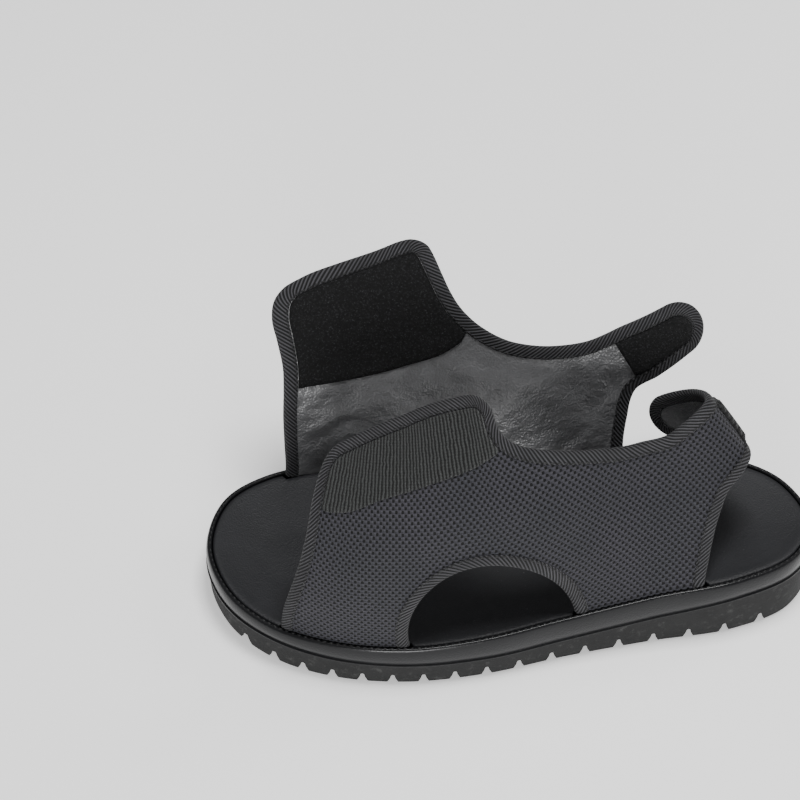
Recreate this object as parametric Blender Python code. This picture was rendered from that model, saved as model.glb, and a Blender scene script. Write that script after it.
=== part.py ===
"""Extra wide open sandal for the left foot, standing with its front flap and heel straps undone.

Metres, +Z up. The toe points to -X and the medial side, where the big toe lies, is +Y.
The origin is on the ground, under the middle of the overall length and width.

Each upper quarter is cut from a flat pattern and bent over the last. A pattern point is
(along, up): along runs with the edge of the sole from mid-length towards the heel, and
up runs up the quarter from the rim of the sole.
"""
from collections import namedtuple
from math import ceil, cos, pi, radians, sin

import bmesh
import bpy
import numpy as np
from mathutils import Matrix, Vector
from mathutils.geometry import delaunay_2d_cdt

# Sole sizes
LENGTH = 0.285
BALL_WIDTH = 0.117
RIM_TOE = 0.027
RIM_FOREFOOT = 0.0243
RIM_HEEL = 0.0365
OUTSOLE_TOE = 0.0155
OUTSOLE_FOREFOOT = 0.0123
OUTSOLE_HEEL = 0.0238
TOE_SPRING = 0.003
TOE_SPRING_REACH = 0.055

# Midsole rand around the footbed
LIP_SETBACK = 0.0012
LIP = 0.0018
RECESS = 0.006
RAND_SHOULDER = 0.0014
RAND_BEAD = 0.0014

# Footbed
FOOTBED_DISH = 0.0022
FOOTBED_EDGE_DROP = 0.0003
FOOTBED_ROUND = 0.0012
FOOTBED_CLEAR = 0.0002
FOOTBED_RAMP = 0.0014

# Tread lugs
OUTSOLE_UNDERCUT = 0.0012
OUTSOLE_EDGE_ROUND = 0.0012
FIRST_GROOVE = 0.0177
LAST_GROOVE = 0.020
LUG_PITCH_TOE = 0.0125
LUG_PITCH_HEEL = 0.0183
GROOVE_HEIGHT = 0.0062
GROOVE_WIDTH = 0.0018
GROOVE_MOUTH = 0.0050
GROOVE_FLARE = 0.0022

# Upper
WALL = 0.0024
BOUND_EDGE = 0.0014
TAPE_WIDTH = 0.0060
TAPE = 0.0009
GAP = 0.0003
SEAM_RISE = 0.0004
LATERAL_HEIGHT = 0.1225
FLAP_HEIGHT = 0.1215

# Cut-out arch at the foot of the lateral quarter
ARCH_WIDTH = 0.0775
ARCH_HEIGHT = 0.0435
ARCH_SKEW = 0.008
ARCH_PLACE = -0.0115

# Heel straps: reach from the root line, and where each straight edge starts, along and across
LATERAL_STRAP_REACH = 0.0902
LATERAL_STRAP_TOP = (0.010, 0.0171)
LATERAL_STRAP_FOOT = (0.017, 0.0250)
LATERAL_STRAP_TIP = 0.0277
LATERAL_STRAP_RISE = radians(30.0)
MEDIAL_STRAP_REACH = 0.033
MEDIAL_STRAP_TOP = (0.0, 0.0158)
MEDIAL_STRAP_FOOT = (0.0, 0.0165)
MEDIAL_STRAP_TIP = 0.028
MEDIAL_STRAP_RISE = radians(30.0)

# Hook and loop patches
PATCH = 0.0016
HEEL_LOOP_PATCH = 0.0024
PATCH_MARGIN = 0.0006
HEEL_LOOP_START = 0.037
HEEL_HOOK_START = -0.008

# Mesh fineness
STEP = 0.0105
TURN = radians(26.0)
GRID = 0.0125
CURL_TURN = radians(13.0)
STRAP_GRID = 0.0032
FOOT_STEP = 0.0075
SOLE_STEP = 0.0125
SOLE_TURN = radians(12.5)
SOLE_GRID = 0.026

# Outline of the sole: share of the length, then shares of half the ball width to each side
Station = namedtuple("Station", "along medial lateral")
OUTLINE = [
    Station(0.00, 0.10, -0.10),
    Station(0.03, 0.60, 0.39),
    Station(0.10, 0.87, 0.735),
    Station(0.20, 0.985, 0.95),
    Station(0.32, 0.965, 1.035),
    Station(0.45, 0.89, 0.985),
    Station(0.58, 0.83, 0.845),
    Station(0.72, 0.795, 0.725),
    Station(0.86, 0.745, 0.63),
    Station(0.96, 0.455, 0.41),
    Station(1.00, -0.05, 0.05),
]

# Height of an edge above the forefoot's: share of the length, share of the toe's and heel's rise
Rise = namedtuple("Rise", "along toe heel")
RIM_LINE = [
    Rise(0.00, 1.0, 0.0),
    Rise(0.10, 0.1, 0.0),
    Rise(0.20, 0.0, 0.0),
    Rise(0.35, 0.0, 0.02),
    Rise(0.50, 0.0, 0.19),
    Rise(0.60, 0.0, 0.33),
    Rise(0.75, 0.0, 0.70),
    Rise(0.85, 0.0, 0.88),
    Rise(1.00, 0.0, 1.0),
]
OUTSOLE_LINE = [
    Rise(0.00, 1.0, 0.0),
    Rise(0.10, 0.85, 0.0),
    Rise(0.20, 0.38, 0.0),
    Rise(0.35, 0.0, 0.0),
    Rise(0.50, 0.0, 0.0),
    Rise(0.60, 0.0, 0.13),
    Rise(0.75, 0.0, 0.52),
    Rise(0.85, 0.0, 0.87),
    Rise(1.00, 0.0, 1.0),
]

# Pattern outlines: shares of the length, and of the quarter's height
Spot = namedtuple("Spot", "along up")
LATERAL_FRONT = [
    Spot(-0.389, 0.0),
    Spot(-0.384, 0.098),
    Spot(-0.373, 0.212),
    Spot(-0.363, 0.318),
    Spot(-0.357, 0.416),
    Spot(-0.355, 0.506),
    Spot(-0.357, 0.620),
    Spot(-0.3565, 0.702),
    Spot(-0.3515, 0.766),
    Spot(-0.335, 0.822),
    Spot(-0.309, 0.858),
    Spot(-0.260, 0.906),
    Spot(-0.193, 0.955),
    Spot(-0.126, 0.989),
    Spot(-0.063, 1.0),
    Spot(-0.028, 0.993),
    Spot(-0.009, 0.965),
    Spot(0.001, 0.920),
    Spot(0.003, 0.865),
    Spot(0.012, 0.816),
    Spot(0.033, 0.769),
    Spot(0.074, 0.717),
    Spot(0.137, 0.663),
    Spot(0.193, 0.625),
    Spot(0.232, 0.617),
]
LATERAL_ROOT = Spot(0.2631, 0.4615)
LATERAL_REAR = [
    Spot(0.345, 0.289),
    Spot(0.333, 0.220),
    Spot(0.325, 0.154),
    Spot(0.319, 0.095),
    Spot(0.313, 0.037),
    Spot(0.310, 0.0),
]
MEDIAL_FRONT = [
    Spot(-0.367, 0.0),
    Spot(-0.366, 0.066),
    Spot(-0.366, 0.165),
    Spot(-0.3635, 0.296),
    Spot(-0.357, 0.428),
    Spot(-0.354, 0.510),
    Spot(-0.3565, 0.626),
    Spot(-0.3585, 0.708),
    Spot(-0.3525, 0.780),
    Spot(-0.338, 0.826),
    Spot(-0.316, 0.854),
    Spot(-0.274, 0.896),
    Spot(-0.218, 0.949),
    Spot(-0.176, 0.990),
    Spot(-0.1635, 0.997),
    Spot(-0.1505, 0.992),
    Spot(-0.139, 0.976),
    Spot(-0.1315, 0.951),
    Spot(-0.1145, 0.869),
    Spot(-0.098, 0.794),
    Spot(-0.079, 0.731),
    Spot(-0.046, 0.663),
    Spot(-0.005, 0.609),
    Spot(0.044, 0.580),
    Spot(0.091, 0.570),
    Spot(0.140, 0.578),
]
MEDIAL_ROOT = Spot(0.221, 0.5185)
MEDIAL_REAR = [
    Spot(0.219, 0.352),
    Spot(0.210, 0.304),
    Spot(0.205, 0.222),
    Spot(0.201, 0.140),
    Spot(0.200, 0.070),
    Spot(0.200, 0.0),
]
MEDIAL_ARCH = [
    Spot(0.0877, 0.0),
    Spot(0.085, 0.0165),
    Spot(0.072, 0.0325),
    Spot(0.042, 0.048),
    Spot(0.007, 0.073),
    Spot(-0.032, 0.116),
    Spot(-0.067, 0.165),
    Spot(-0.098, 0.198),
    Spot(-0.123, 0.190),
    Spot(-0.140, 0.141),
    Spot(-0.1495, 0.070),
    Spot(-0.1516, 0.0),
]

# Lower edges of the two large front patches, in the same shares
LATERAL_PATCH_FOOT = [
    Spot(-0.351, 0.604),
    Spot(-0.326, 0.584),
    Spot(-0.282, 0.598),
    Spot(-0.228, 0.648),
    Spot(-0.153, 0.691),
    Spot(-0.062, 0.729),
    Spot(-0.021, 0.755),
    Spot(0.030, 0.800),
]
MEDIAL_PATCH_FOOT = [
    Spot(-0.351, 0.420),
    Spot(-0.324, 0.424),
    Spot(-0.265, 0.439),
    Spot(-0.160, 0.504),
    Spot(-0.108, 0.552),
    Spot(-0.081, 0.595),
    Spot(-0.040, 0.680),
]

# Lean of a quarter towards the foot: share of its height, degrees in front and at the rear
Lean = namedtuple("Lean", "up front rear")
LATERAL_LEAN = [
    Lean(0.00, -2.0, 28.0),
    Lean(0.16, 4.0, 28.0),
    Lean(0.41, 22.0, 28.0),
    Lean(0.65, 42.0, 28.0),
    Lean(1.00, 58.0, 28.0),
]
MEDIAL_LEAN = [
    Lean(0.00, 2.0, -16.0),
    Lean(0.12, -4.0, -16.0),
    Lean(0.41, -22.0, -16.0),
    Lean(0.74, -32.0, -16.0),
    Lean(1.00, -36.0, -16.0),
]

# Curl of a heel strap towards the foot: share of its reach, degrees turned
Curl = namedtuple("Curl", "along turn")
LATERAL_CURL = [
    Curl(0.00, 0.0),
    Curl(0.15, 2.0),
    Curl(0.30, 18.0),
    Curl(0.45, 84.0),
    Curl(0.60, 111.0),
    Curl(0.80, 130.0),
    Curl(1.00, 143.0),
]
MEDIAL_CURL = [
    Curl(0.00, 0.0),
    Curl(1.00, -26.0),
]


def smooth(points, closed=False, steps=12):
    """Reads a centripetal Catmull-Rom curve through the points as a fine polyline."""
    points = np.array(points, float)
    if closed:
        padded = np.vstack([points[-1], points, points[:2]])
    else:
        padded = np.vstack([2 * points[0] - points[1], points, 2 * points[-1] - points[-2]])
    fine = []
    for p0, p1, p2, p3 in zip(padded, padded[1:], padded[2:], padded[3:]):
        t1 = np.linalg.norm(p1 - p0) ** 0.5
        t2 = t1 + np.linalg.norm(p2 - p1) ** 0.5
        t3 = t2 + np.linalg.norm(p3 - p2) ** 0.5
        for t in np.linspace(t1, t2, steps, endpoint=False):
            a1 = p0 + (p1 - p0) * t / t1
            a2 = p1 + (p2 - p1) * (t - t1) / (t2 - t1)
            a3 = p2 + (p3 - p2) * (t - t2) / (t3 - t2)
            b1 = a1 + (a2 - a1) * t / t2
            b2 = a2 + (a3 - a2) * (t - t1) / (t3 - t1)
            fine.append(b1 + (b2 - b1) * (t - t1) / (t2 - t1))
    if not closed:
        fine.append(points[-1])
    return np.array(fine)


def distances(path):
    """Gives the distance from the start of a polyline to each of its points."""
    return np.concatenate([[0.0], np.cumsum(np.linalg.norm(np.diff(path, axis=0), axis=1))])


def resample(path, step, turn, curls=None):
    """Thins a fine polyline to points no more than a step and a turn apart.

    Columns past the first two are carried along. curls are the angles that the surface
    under the polyline has turned through at each point, where it is curled.
    """
    runs = np.diff(path[:, :2], axis=0)
    headings = np.unwrap(np.arctan2(runs[:, 1], runs[:, 0]))
    costs = np.linalg.norm(runs, axis=1) / step
    costs[1:] += np.abs(np.diff(headings)) / turn
    if curls is not None:
        costs += np.abs(np.diff(curls)) / CURL_TURN
    spent = np.concatenate([[0.0], np.cumsum(costs)])
    wanted = np.linspace(0.0, spent[-1], max(2, ceil(spent[-1])) + 1)
    return np.column_stack([np.interp(wanted, spent, column) for column in path.T])


def left_normals(path, closed=False, upright_ends=False):
    """Gives each point of a polyline the unit vector to its left."""
    if closed:
        tangents = np.roll(path, -1, axis=0) - np.roll(path, 1, axis=0)
    else:
        tangents = np.gradient(path, axis=0)
    if upright_ends:
        tangents[0] = (0.0, 1.0)
        tangents[-1] = (0.0, -1.0)
    tangents /= np.linalg.norm(tangents, axis=1)[:, None]
    return np.column_stack([-tangents[:, 1], tangents[:, 0]])


def inside(polygon, point):
    """Tells whether a point lies inside a polygon."""
    x, y = point
    x0, y0 = polygon[:, 0], polygon[:, 1]
    x1, y1 = np.roll(x0, -1), np.roll(y0, -1)
    crosses = (y0 > y) != (y1 > y)
    rise = np.where(crosses, y1 - y0, 1.0)
    return np.count_nonzero(crosses & (x < x0 + (y - y0) * (x1 - x0) / rise)) % 2 == 1


def clear_of(paths, point, distance):
    """Tells whether a point is at least a distance from every point of some polylines."""
    return all(np.min(np.hypot(path[:, 0] - point[0], path[:, 1] - point[1])) > distance
               for path in paths)


def grid_spots(polygons, spacing):
    """Spreads a staggered grid of points over some polygons, clear of their edges."""
    low = np.min([polygon.min(axis=0) for polygon in polygons], axis=0)
    high = np.max([polygon.max(axis=0) for polygon in polygons], axis=0)
    spots = []
    for row, y in enumerate(np.arange(low[1] + spacing / 2, high[1], spacing * 0.87)):
        for x in np.arange(low[0] + spacing * (0.5 + 0.5 * (row % 2)), high[0], spacing):
            if any(inside(polygon, (x, y)) for polygon in polygons):
                if clear_of(polygons, (x, y), spacing * 0.62):
                    spots.append((x, y))
    return spots


def new_object(name, mesh_data, material, collection):
    """Turns a bmesh into an object with one material."""
    bmesh.ops.triangulate(mesh_data, faces=mesh_data.faces[:])
    bmesh.ops.recalc_face_normals(mesh_data, faces=mesh_data.faces[:])
    mesh = bpy.data.meshes.new(name)
    mesh_data.to_mesh(mesh)
    mesh_data.free()
    mesh.materials.append(material)
    thing = bpy.data.objects.new(name, mesh)
    collection.objects.link(thing)
    return thing


def triangles(polygons, spots):
    """Triangulates polygons that share edges, and tells which polygon holds each triangle."""
    places = []
    index = {}
    edges = []

    def number(point):
        key = (round(point[0], 7), round(point[1], 7))
        if key not in index:
            index[key] = len(places)
            places.append(Vector(key))
        return index[key]

    for polygon in polygons:
        ring = [number(point) for point in polygon]
        edges += [(a, b) for a, b in zip(ring, ring[1:] + ring[:1]) if a != b]
    for spot in spots:
        number(spot)
    corners, _, faces, _, _, _ = delaunay_2d_cdt(places, edges, [], 0, 1e-9)
    kept = []
    for face in faces:
        middle = sum((corners[i] for i in face), Vector((0.0, 0.0))) / len(face)
        for which, polygon in enumerate(polygons):
            if inside(polygon, middle):
                kept.append((tuple(face), which))
                break
    return corners, kept


def sheet(name, regions, spots, place, material, collection):
    """Makes a bent sheet from pattern polygons, each with its own low and high face.

    place(along, up, out) gives the point in space at a height out from the middle surface.
    """
    polygons = [polygon for polygon, _ in regions]
    faces_of = [faces for _, faces in regions]
    corners, kept = triangles(polygons, spots)
    levels = {}
    owners = {}
    for face, which in kept:
        for i in face:
            levels.setdefault(i, set()).update(faces_of[which])
        for a, b in zip(face, face[1:] + face[:1]):
            owners.setdefault(frozenset((a, b)), []).append(which)
    work = bmesh.new()
    made = {}

    def vertex(i, out):
        if (i, out) not in made:
            made[i, out] = work.verts.new(place(corners[i][0], corners[i][1], out))
        return made[i, out]

    def wall(a, b, low, high):
        ring = [vertex(a, out) for out in sorted(levels[a]) if low <= out <= high]
        ring += [vertex(b, out) for out in sorted(levels[b], reverse=True) if low <= out <= high]
        work.faces.new(ring)

    for face, which in kept:
        low, high = faces_of[which]
        work.faces.new([vertex(i, high) for i in face])
        work.faces.new([vertex(i, low) for i in reversed(face)])
    for edge, sides in owners.items():
        a, b = sorted(edge)
        if len(sides) == 1:
            wall(a, b, *faces_of[sides[0]])
        elif sides[0] != sides[1]:
            (low0, high0), (low1, high1) = faces_of[sides[0]], faces_of[sides[1]]
            wall(a, b, min(high0, high1), max(high0, high1))
            wall(a, b, min(low0, low1), max(low0, low1))
    return new_object(name, work, material, collection)


def loft(name, sections, material, collection, caps=None):
    """Joins closed sections of equally many points into a solid with two flat ends.

    caps lists the corners of each face of an end, where one face can't close it.
    """
    work = bmesh.new()
    rings = [[work.verts.new(point) for point in section] for section in sections]
    for near, far in zip(rings, rings[1:]):
        for i in range(len(near)):
            j = (i + 1) % len(near)
            work.faces.new((near[i], near[j], far[j], far[i]))
    for corners in caps or [range(len(sections[0]))]:
        work.faces.new([rings[0][i] for i in corners])
        work.faces.new([rings[-1][i] for i in reversed(corners)])
    return new_object(name, work, material, collection)


def height_line(rows, toe, forefoot, heel):
    """Works out the height of an edge along the sole from a table of rises."""
    line = smooth([(row.along, forefoot + row.toe * (toe - forefoot) + row.heel * (heel - forefoot))
                   for row in rows])

    def height(x):
        return float(np.interp(x / LENGTH + 0.5, line[:, 0], line[:, 1]))

    return height


rim = height_line(RIM_LINE, RIM_TOE, RIM_FOREFOOT, RIM_HEEL)
outsole_top = height_line(OUTSOLE_LINE, OUTSOLE_TOE, OUTSOLE_FOREFOOT, OUTSOLE_HEEL)


def ground_lift(x):
    """Gives the height of the tread above the ground, which the toe spring lifts."""
    share = max(0.0, 1.0 - (x + LENGTH / 2) / TOE_SPRING_REACH)
    return TOE_SPRING * share ** 2


def sole_outline():
    """Draws the outline of the sole, from the toe along the medial side, clockwise from above."""
    half = BALL_WIDTH / 2
    medial = [((row.along - 0.5) * LENGTH, row.medial * half) for row in OUTLINE]
    lateral = [((row.along - 0.5) * LENGTH, -row.lateral * half) for row in OUTLINE[-2:0:-1]]
    return smooth(medial + lateral, closed=True, steps=24)


FINE_OUTLINE = sole_outline()


def inset_outline(path, distance):
    """Moves points of the outline inwards by one distance, or by one for each point."""
    return path - left_normals(path, closed=True) * np.reshape(distance, (-1, 1))


class SoleRing:
    """Points round the outline of the sole, with their normals, closer together on bends."""

    def __init__(self, stretches):
        looped = np.vstack([FINE_OUTLINE, FINE_OUTLINE[:1]])
        outward = left_normals(FINE_OUTLINE, closed=True)
        outward = np.vstack([outward, outward[:1]])
        runs = distances(looped)
        marks = [run for low, high in stretches
                 for run in (low - FOOTBED_RAMP, low, high, high + FOOTBED_RAMP)]
        even = resample(np.column_stack([looped, runs]), SOLE_STEP, SOLE_TURN)[:-1, 2]
        free = [run for run in even if min(abs(run - mark) for mark in marks) > FOOTBED_RAMP * 0.7]
        self.runs = np.array(sorted(marks + free))
        self.points = np.column_stack([np.interp(self.runs, runs, c) for c in looped.T])
        self.outward = np.column_stack([np.interp(self.runs, runs, c) for c in outward.T])

    def inset(self, setback):
        """Moves the ring inwards by one distance, or by one for each point."""
        return self.points - self.outward * np.reshape(setback, (-1, 1))


def stack_rings(work, rings):
    """Joins rings of vertices, each to the next, with a band of faces."""
    for near, far in zip(rings, rings[1:]):
        for i in range(len(near)):
            j = (i + 1) % len(near)
            work.faces.new((near[i], near[j], far[j], far[i]))


def close_ring(work, flat, ring, height, spacing):
    """Covers a ring of vertices with a surface whose height is a function of the place."""
    corners, kept = triangles([flat], grid_spots([flat], spacing))
    index = {(round(x, 7), round(y, 7)): vert for (x, y), vert in zip(flat, ring)}
    verts = []
    for x, y in corners:
        key = (round(x, 7), round(y, 7))
        verts.append(index[key] if key in index else work.verts.new((x, y, height(x, y))))
    for face, _ in kept:
        work.faces.new([verts[i] for i in face])


def sole_solid(name, ring, rows, material, collection):
    """Stacks rings round the sole, each a setback and a height, and closes both ends.

    A height is a function of the place along the sole.
    """
    work = bmesh.new()
    flats = [ring.inset(setback) for setback, _ in rows]
    rings = [[work.verts.new((x, y, height(x))) for x, y in flat]
             for flat, (_, height) in zip(flats, rows)]
    stack_rings(work, rings)
    for end in (0, -1):
        close_ring(work, flats[end], rings[end], lambda x, y: rows[end][1](x), SOLE_GRID)
    return new_object(name, work, material, collection)


class Quarter:
    """One side of the upper: its foot on the sole, its lean, and its heel strap."""

    def __init__(self, side, height, lean, root, rise, reach, curl, rear_foot):
        self.side = side
        self.height = height
        self.root = np.array([root.along * LENGTH, root.up * height])
        self.along = np.array([cos(rise), sin(rise)])
        self.across = np.array([-sin(rise), cos(rise)])
        self.lean_up = [row.up * height for row in lean]
        self.lean_front = [radians(row.front) for row in lean]
        self.lean_rear = [radians(row.rear) for row in lean]
        self.rear_foot = rear_foot * LENGTH
        foot = inset_outline(FINE_OUTLINE, LIP_SETBACK + LIP + GAP + WALL / 2)
        toe, heel = int(np.argmin(foot[:, 0])), int(np.argmax(foot[:, 0]))
        count = len(foot)
        if side > 0:
            order = [(toe + k) % count for k in range((heel - toe) % count + 1)]
        else:
            order = [(toe - k) % count for k in range((toe - heel) % count + 1)]
        self.foot = foot[order]
        runs = distances(self.foot)
        self.runs = runs - np.interp(0.0, self.foot[:, 0], runs)
        self.bend = self.strap_bend(reach, curl)

    def foot_frame(self, along):
        """Gives the foot's point, its direction to the heel and the direction to the foot's axis."""
        reach = 0.002
        point, ahead, behind = (np.array([np.interp(a, self.runs, column) for column in self.foot.T])
                                for a in (along, along + reach, along - reach))
        run = (ahead - behind) / np.linalg.norm(ahead - behind)
        inward = np.array([run[1], -run[0]]) * self.side
        return point, run, inward

    def panel_point(self, along, up):
        """Bends a pattern point of the quarter over the last."""
        foot, run, inward = self.foot_frame(min(along, self.rear_foot))
        beyond = max(0.0, along - self.rear_foot)
        share = min(1.0, max(0.0, along / self.rear_foot))
        share = share * share * (3 - 2 * share)
        steps = 20
        ups = (np.arange(steps) + 0.5) / steps * max(up, 0.0)
        front = np.interp(ups, self.lean_up, self.lean_front)
        rear = np.interp(ups, self.lean_up, self.lean_rear)
        lean = front * (1 - share) + rear * share
        reach = np.mean(np.sin(lean)) * max(up, 0.0)
        climb = np.mean(np.cos(lean)) * max(up, 0.0) + min(up, 0.0)
        flat = foot + inward * reach + run * beyond
        return np.array([flat[0], flat[1], rim(foot[0]) + climb])

    def strap_bend(self, reach, curl):
        """Works out how far the curled strap has moved at each distance from its root."""
        tiny = 0.0005
        middle = self.panel_point(*self.root)
        run = self.panel_point(*(self.root + self.along * tiny)) - middle
        rise = self.panel_point(*(self.root + self.across * tiny)) - middle
        run /= np.linalg.norm(run)
        inward = np.cross(run, rise) * self.side
        inward /= np.linalg.norm(inward)
        fine = smooth([(row.along, row.turn) for row in curl])
        count = 120
        runs = np.linspace(0.0, reach, count + 1)
        turns = np.radians(np.interp(runs / reach, fine[:, 0], fine[:, 1]))
        middles = (turns[1:] + turns[:-1]) / 2
        moves = (np.outer(np.cos(middles), run) + np.outer(np.sin(middles), inward)) * reach / count
        return runs, turns, np.vstack([np.zeros(3), np.cumsum(moves, axis=0)])

    def turned(self, along, up):
        """Gives the angle that the strap has curled through at a pattern point."""
        runs, turns, _ = self.bend
        return np.interp(self.strap_place(along, up)[0], runs, turns)

    def strap_place(self, along, up):
        """Gives a pattern point's distance from the strap's root line and from its middle line."""
        offset = np.array([along, up]) - self.root
        return offset @ self.along, offset @ self.across

    def middle_point(self, along, up):
        """Gives the point in space of a pattern point, on the middle surface."""
        run, _ = self.strap_place(along, up)
        if run <= 0:
            return self.panel_point(along, up)
        root_point = np.array([along, up]) - self.along * run
        runs, _, moves = self.bend
        move = np.array([np.interp(run, runs, column) for column in moves.T])
        return self.panel_point(*root_point) + move

    def place(self, along, up, out):
        """Gives the point at a height out from the middle surface, away from the foot."""
        tiny = 0.0006
        point = self.middle_point(along, up)
        run = self.middle_point(along + tiny, up) - self.middle_point(along - tiny, up)
        rise = self.middle_point(along, up + tiny) - self.middle_point(along, up - tiny)
        normal = np.cross(run, rise) * -self.side
        if up < SEAM_RISE * 2:
            normal[2] = 0.0
        return Vector(point + normal / np.linalg.norm(normal) * out)

    def pattern_point(self, run, across):
        """Gives the pattern point at a place on the strap."""
        return self.root + self.along * run + self.across * across


def strap_outline(quarter, reach, top_start, foot_start, tip_width):
    """Draws the edge of a heel strap from its top at the root, round its tip and back."""
    radius = tip_width / 2
    centre = reach - radius
    shares = np.linspace(0.0, 1.0, 9)[:, None]
    top = top_start + (np.array([centre, radius]) - top_start) * shares
    foot = foot_start + (np.array([centre, radius]) - foot_start) * shares[::-1]
    tip = [(centre + radius * sin(angle), radius * cos(angle))
           for angle in np.linspace(0.0, pi, 13)[1:-1]]
    path = np.vstack([top, tip, foot * (1.0, -1.0)])
    return [quarter.pattern_point(run, across) for run, across in path]


def edge_spots(quarter, rows):
    """Reads a table of spots as points of the quarter's pattern."""
    return [(row.along * LENGTH, SEAM_RISE + row.up * (quarter.height - SEAM_RISE)) for row in rows]


def quarter_edge(quarter, front, rear, strap):
    """Draws the free edge of a quarter, from its front foot round to its rear foot."""
    edge = smooth(np.vstack([edge_spots(quarter, front), strap, edge_spots(quarter, rear)]), steps=8)
    return resample(edge, STEP, TURN, [quarter.turned(*point) for point in edge])


def lateral_arch_edge():
    """Draws the free edge of the lateral cut-out, from its rear foot over its top to its front."""
    path = []
    for angle in np.linspace(pi, 0.0, 61):
        along = ARCH_PLACE - ARCH_WIDTH / 2 * cos(angle) - ARCH_SKEW * sin(angle)
        path.append((along, SEAM_RISE + ARCH_HEIGHT * sin(angle)))
    return resample(np.array(path), STEP * 0.7, TURN)


def medial_arch_edge(quarter):
    """Draws the free edge of the medial cut-out, which is low and rises towards the toe."""
    return resample(smooth(edge_spots(quarter, MEDIAL_ARCH)), STEP * 0.7, TURN)


def offset_edge(edge, distance):
    """Moves a free edge into the quarter by a distance, level at its two feet."""
    return edge - left_normals(edge, upright_ends=True) * distance


def foot_row(start, stop, up):
    """Gives a level row of points from below one foot of an edge to below another."""
    count = ceil(abs(stop[0] - start[0]) / FOOT_STEP) + 1
    return [(along, up) for along in np.linspace(start[0], stop[0], count)]


def quarter_regions(edge, arch):
    """Divides a quarter's pattern into its full wall and the thin edges under the tape."""
    rim_edge, rim_step = (offset_edge(edge, d) for d in (TAPE + GAP, TAPE_WIDTH + GAP))
    arch_rim, arch_step = (offset_edge(arch, d) for d in (TAPE + GAP, TAPE_WIDTH + GAP))
    wall = np.vstack([rim_step, rim_edge[-1], foot_row(rim_edge[-1], arch_rim[0], GAP - RECESS),
                      arch_rim[0], arch_step, arch_rim[-1],
                      foot_row(arch_rim[-1], rim_edge[0], GAP - RECESS), rim_edge[0]])
    thick = (-WALL / 2, WALL / 2)
    thin = (-BOUND_EDGE / 2, BOUND_EDGE / 2)
    return [
        (wall, thick),
        (np.vstack([rim_edge, rim_step[::-1]]), thin),
        (np.vstack([arch_rim, arch_step[::-1]]), thin),
    ]


def strap_spots(quarter, polygon, reach, width):
    """Spreads rows of points over a strap, close enough together for its curl."""
    spots = []
    for run in np.arange(0.0, reach, STRAP_GRID):
        for across in (-width * 0.55, -width * 0.2, width * 0.2):
            point = quarter.pattern_point(run, across)
            if inside(polygon, point) and clear_of([polygon], point, STRAP_GRID * 0.6):
                spots.append(tuple(point))
    return spots


def quarter_spots(quarter, polygon, edge, arch, reach, width):
    """Spreads points over a quarter: rows at its feet, a grid on its panel, rows on its strap."""
    feet = foot_row(edge[-1], arch[0], 0.0)[1:-1] + foot_row(arch[-1], edge[0], 0.0)[1:-1]
    panel = [spot for spot in grid_spots([polygon], GRID)
             if spot[1] > GRID * 0.4 and quarter.strap_place(*spot)[0] < 0]
    return feet + panel + strap_spots(quarter, polygon, reach, width)


def tape(name, quarter, edge, material, collection):
    """Folds a binding tape over a free edge, with a slot that takes the wall's thin edge.

    Both ends of the tape stop just above the thick foot of the wall.
    """
    edge = np.array(edge)
    edge[[0, -1], 1] += GAP
    slot = BOUND_EDGE / 2 + GAP
    face = slot + TAPE
    profile = [(0.0, -face), (0.0, face), (TAPE_WIDTH, face), (TAPE_WIDTH, slot),
               (TAPE, slot), (TAPE, -slot), (TAPE_WIDTH, -slot), (TAPE_WIDTH, -face)]
    paths = {depth: offset_edge(edge, depth) for depth in (0.0, TAPE, TAPE_WIDTH)}
    sections = [[quarter.place(*paths[depth][i], out) for depth, out in profile]
                for i in range(len(edge))]
    back_and_legs = [(0, 1, 4, 5), (1, 2, 3, 4), (5, 6, 7, 0)]
    return loft(name, sections, material, collection, back_and_legs)


def spaced(path, least):
    """Drops the points of a polyline that lie too close to the one before."""
    kept = [path[0]]
    for point in path[1:]:
        if np.linalg.norm(point - kept[-1]) > least:
            kept.append(point)
    return np.array(kept)


def kept_run(path, wanted):
    """Gives the longest unbroken run of points of a path that a test accepts."""
    best, run = [], []
    for point in path:
        if wanted(point):
            run.append(point)
        else:
            best = max(best, run, key=len)
            run = []
    return np.array(max(best, run, key=len))


def front_patch(name, quarter, edge, foot_rows, faces, material, collection):
    """Lays a large patch over the top of a quarter, down to the line of its lower edge."""
    margin = spaced(offset_edge(edge, TAPE_WIDTH + PATCH_MARGIN), STEP / 5)
    fine = smooth(margin, steps=4)
    foot = smooth([(row.along * LENGTH, row.up * quarter.height) for row in foot_rows], steps=6)
    end = foot[-1, 0]
    upper = kept_run(fine, lambda p: p[0] < end and p[1] > np.interp(p[0], foot[:, 0], foot[:, 1]))
    upper = resample(upper, STEP, TURN)
    lower = foot[(foot[:, 0] > upper[0, 0] + STEP / 3) & (foot[:, 0] < upper[-1, 0] - STEP / 3)]
    polygon = np.vstack([upper, resample(lower, STEP, TURN)[::-1]])
    spots = grid_spots([polygon], GRID)
    return sheet(name, [(polygon, faces)], spots, quarter.place, material, collection)


def strap_patch(name, quarter, edge, start, faces, width, material, collection):
    """Lays a patch over a heel strap, from a distance past its root line to the tip."""
    margin = spaced(offset_edge(edge, TAPE_WIDTH + PATCH_MARGIN), STEP / 5)
    fine = smooth(margin, steps=8)
    ring = kept_run(fine, lambda point: quarter.strap_place(*point)[0] >= start)
    polygon = resample(np.vstack([ring, ring[:1]]), STRAP_GRID, TURN)[:-1]
    spots = strap_spots(quarter, polygon, quarter.bend[0][-1], width)
    return sheet(name, [(polygon, faces)], spots, quarter.place, material, collection)


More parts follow.
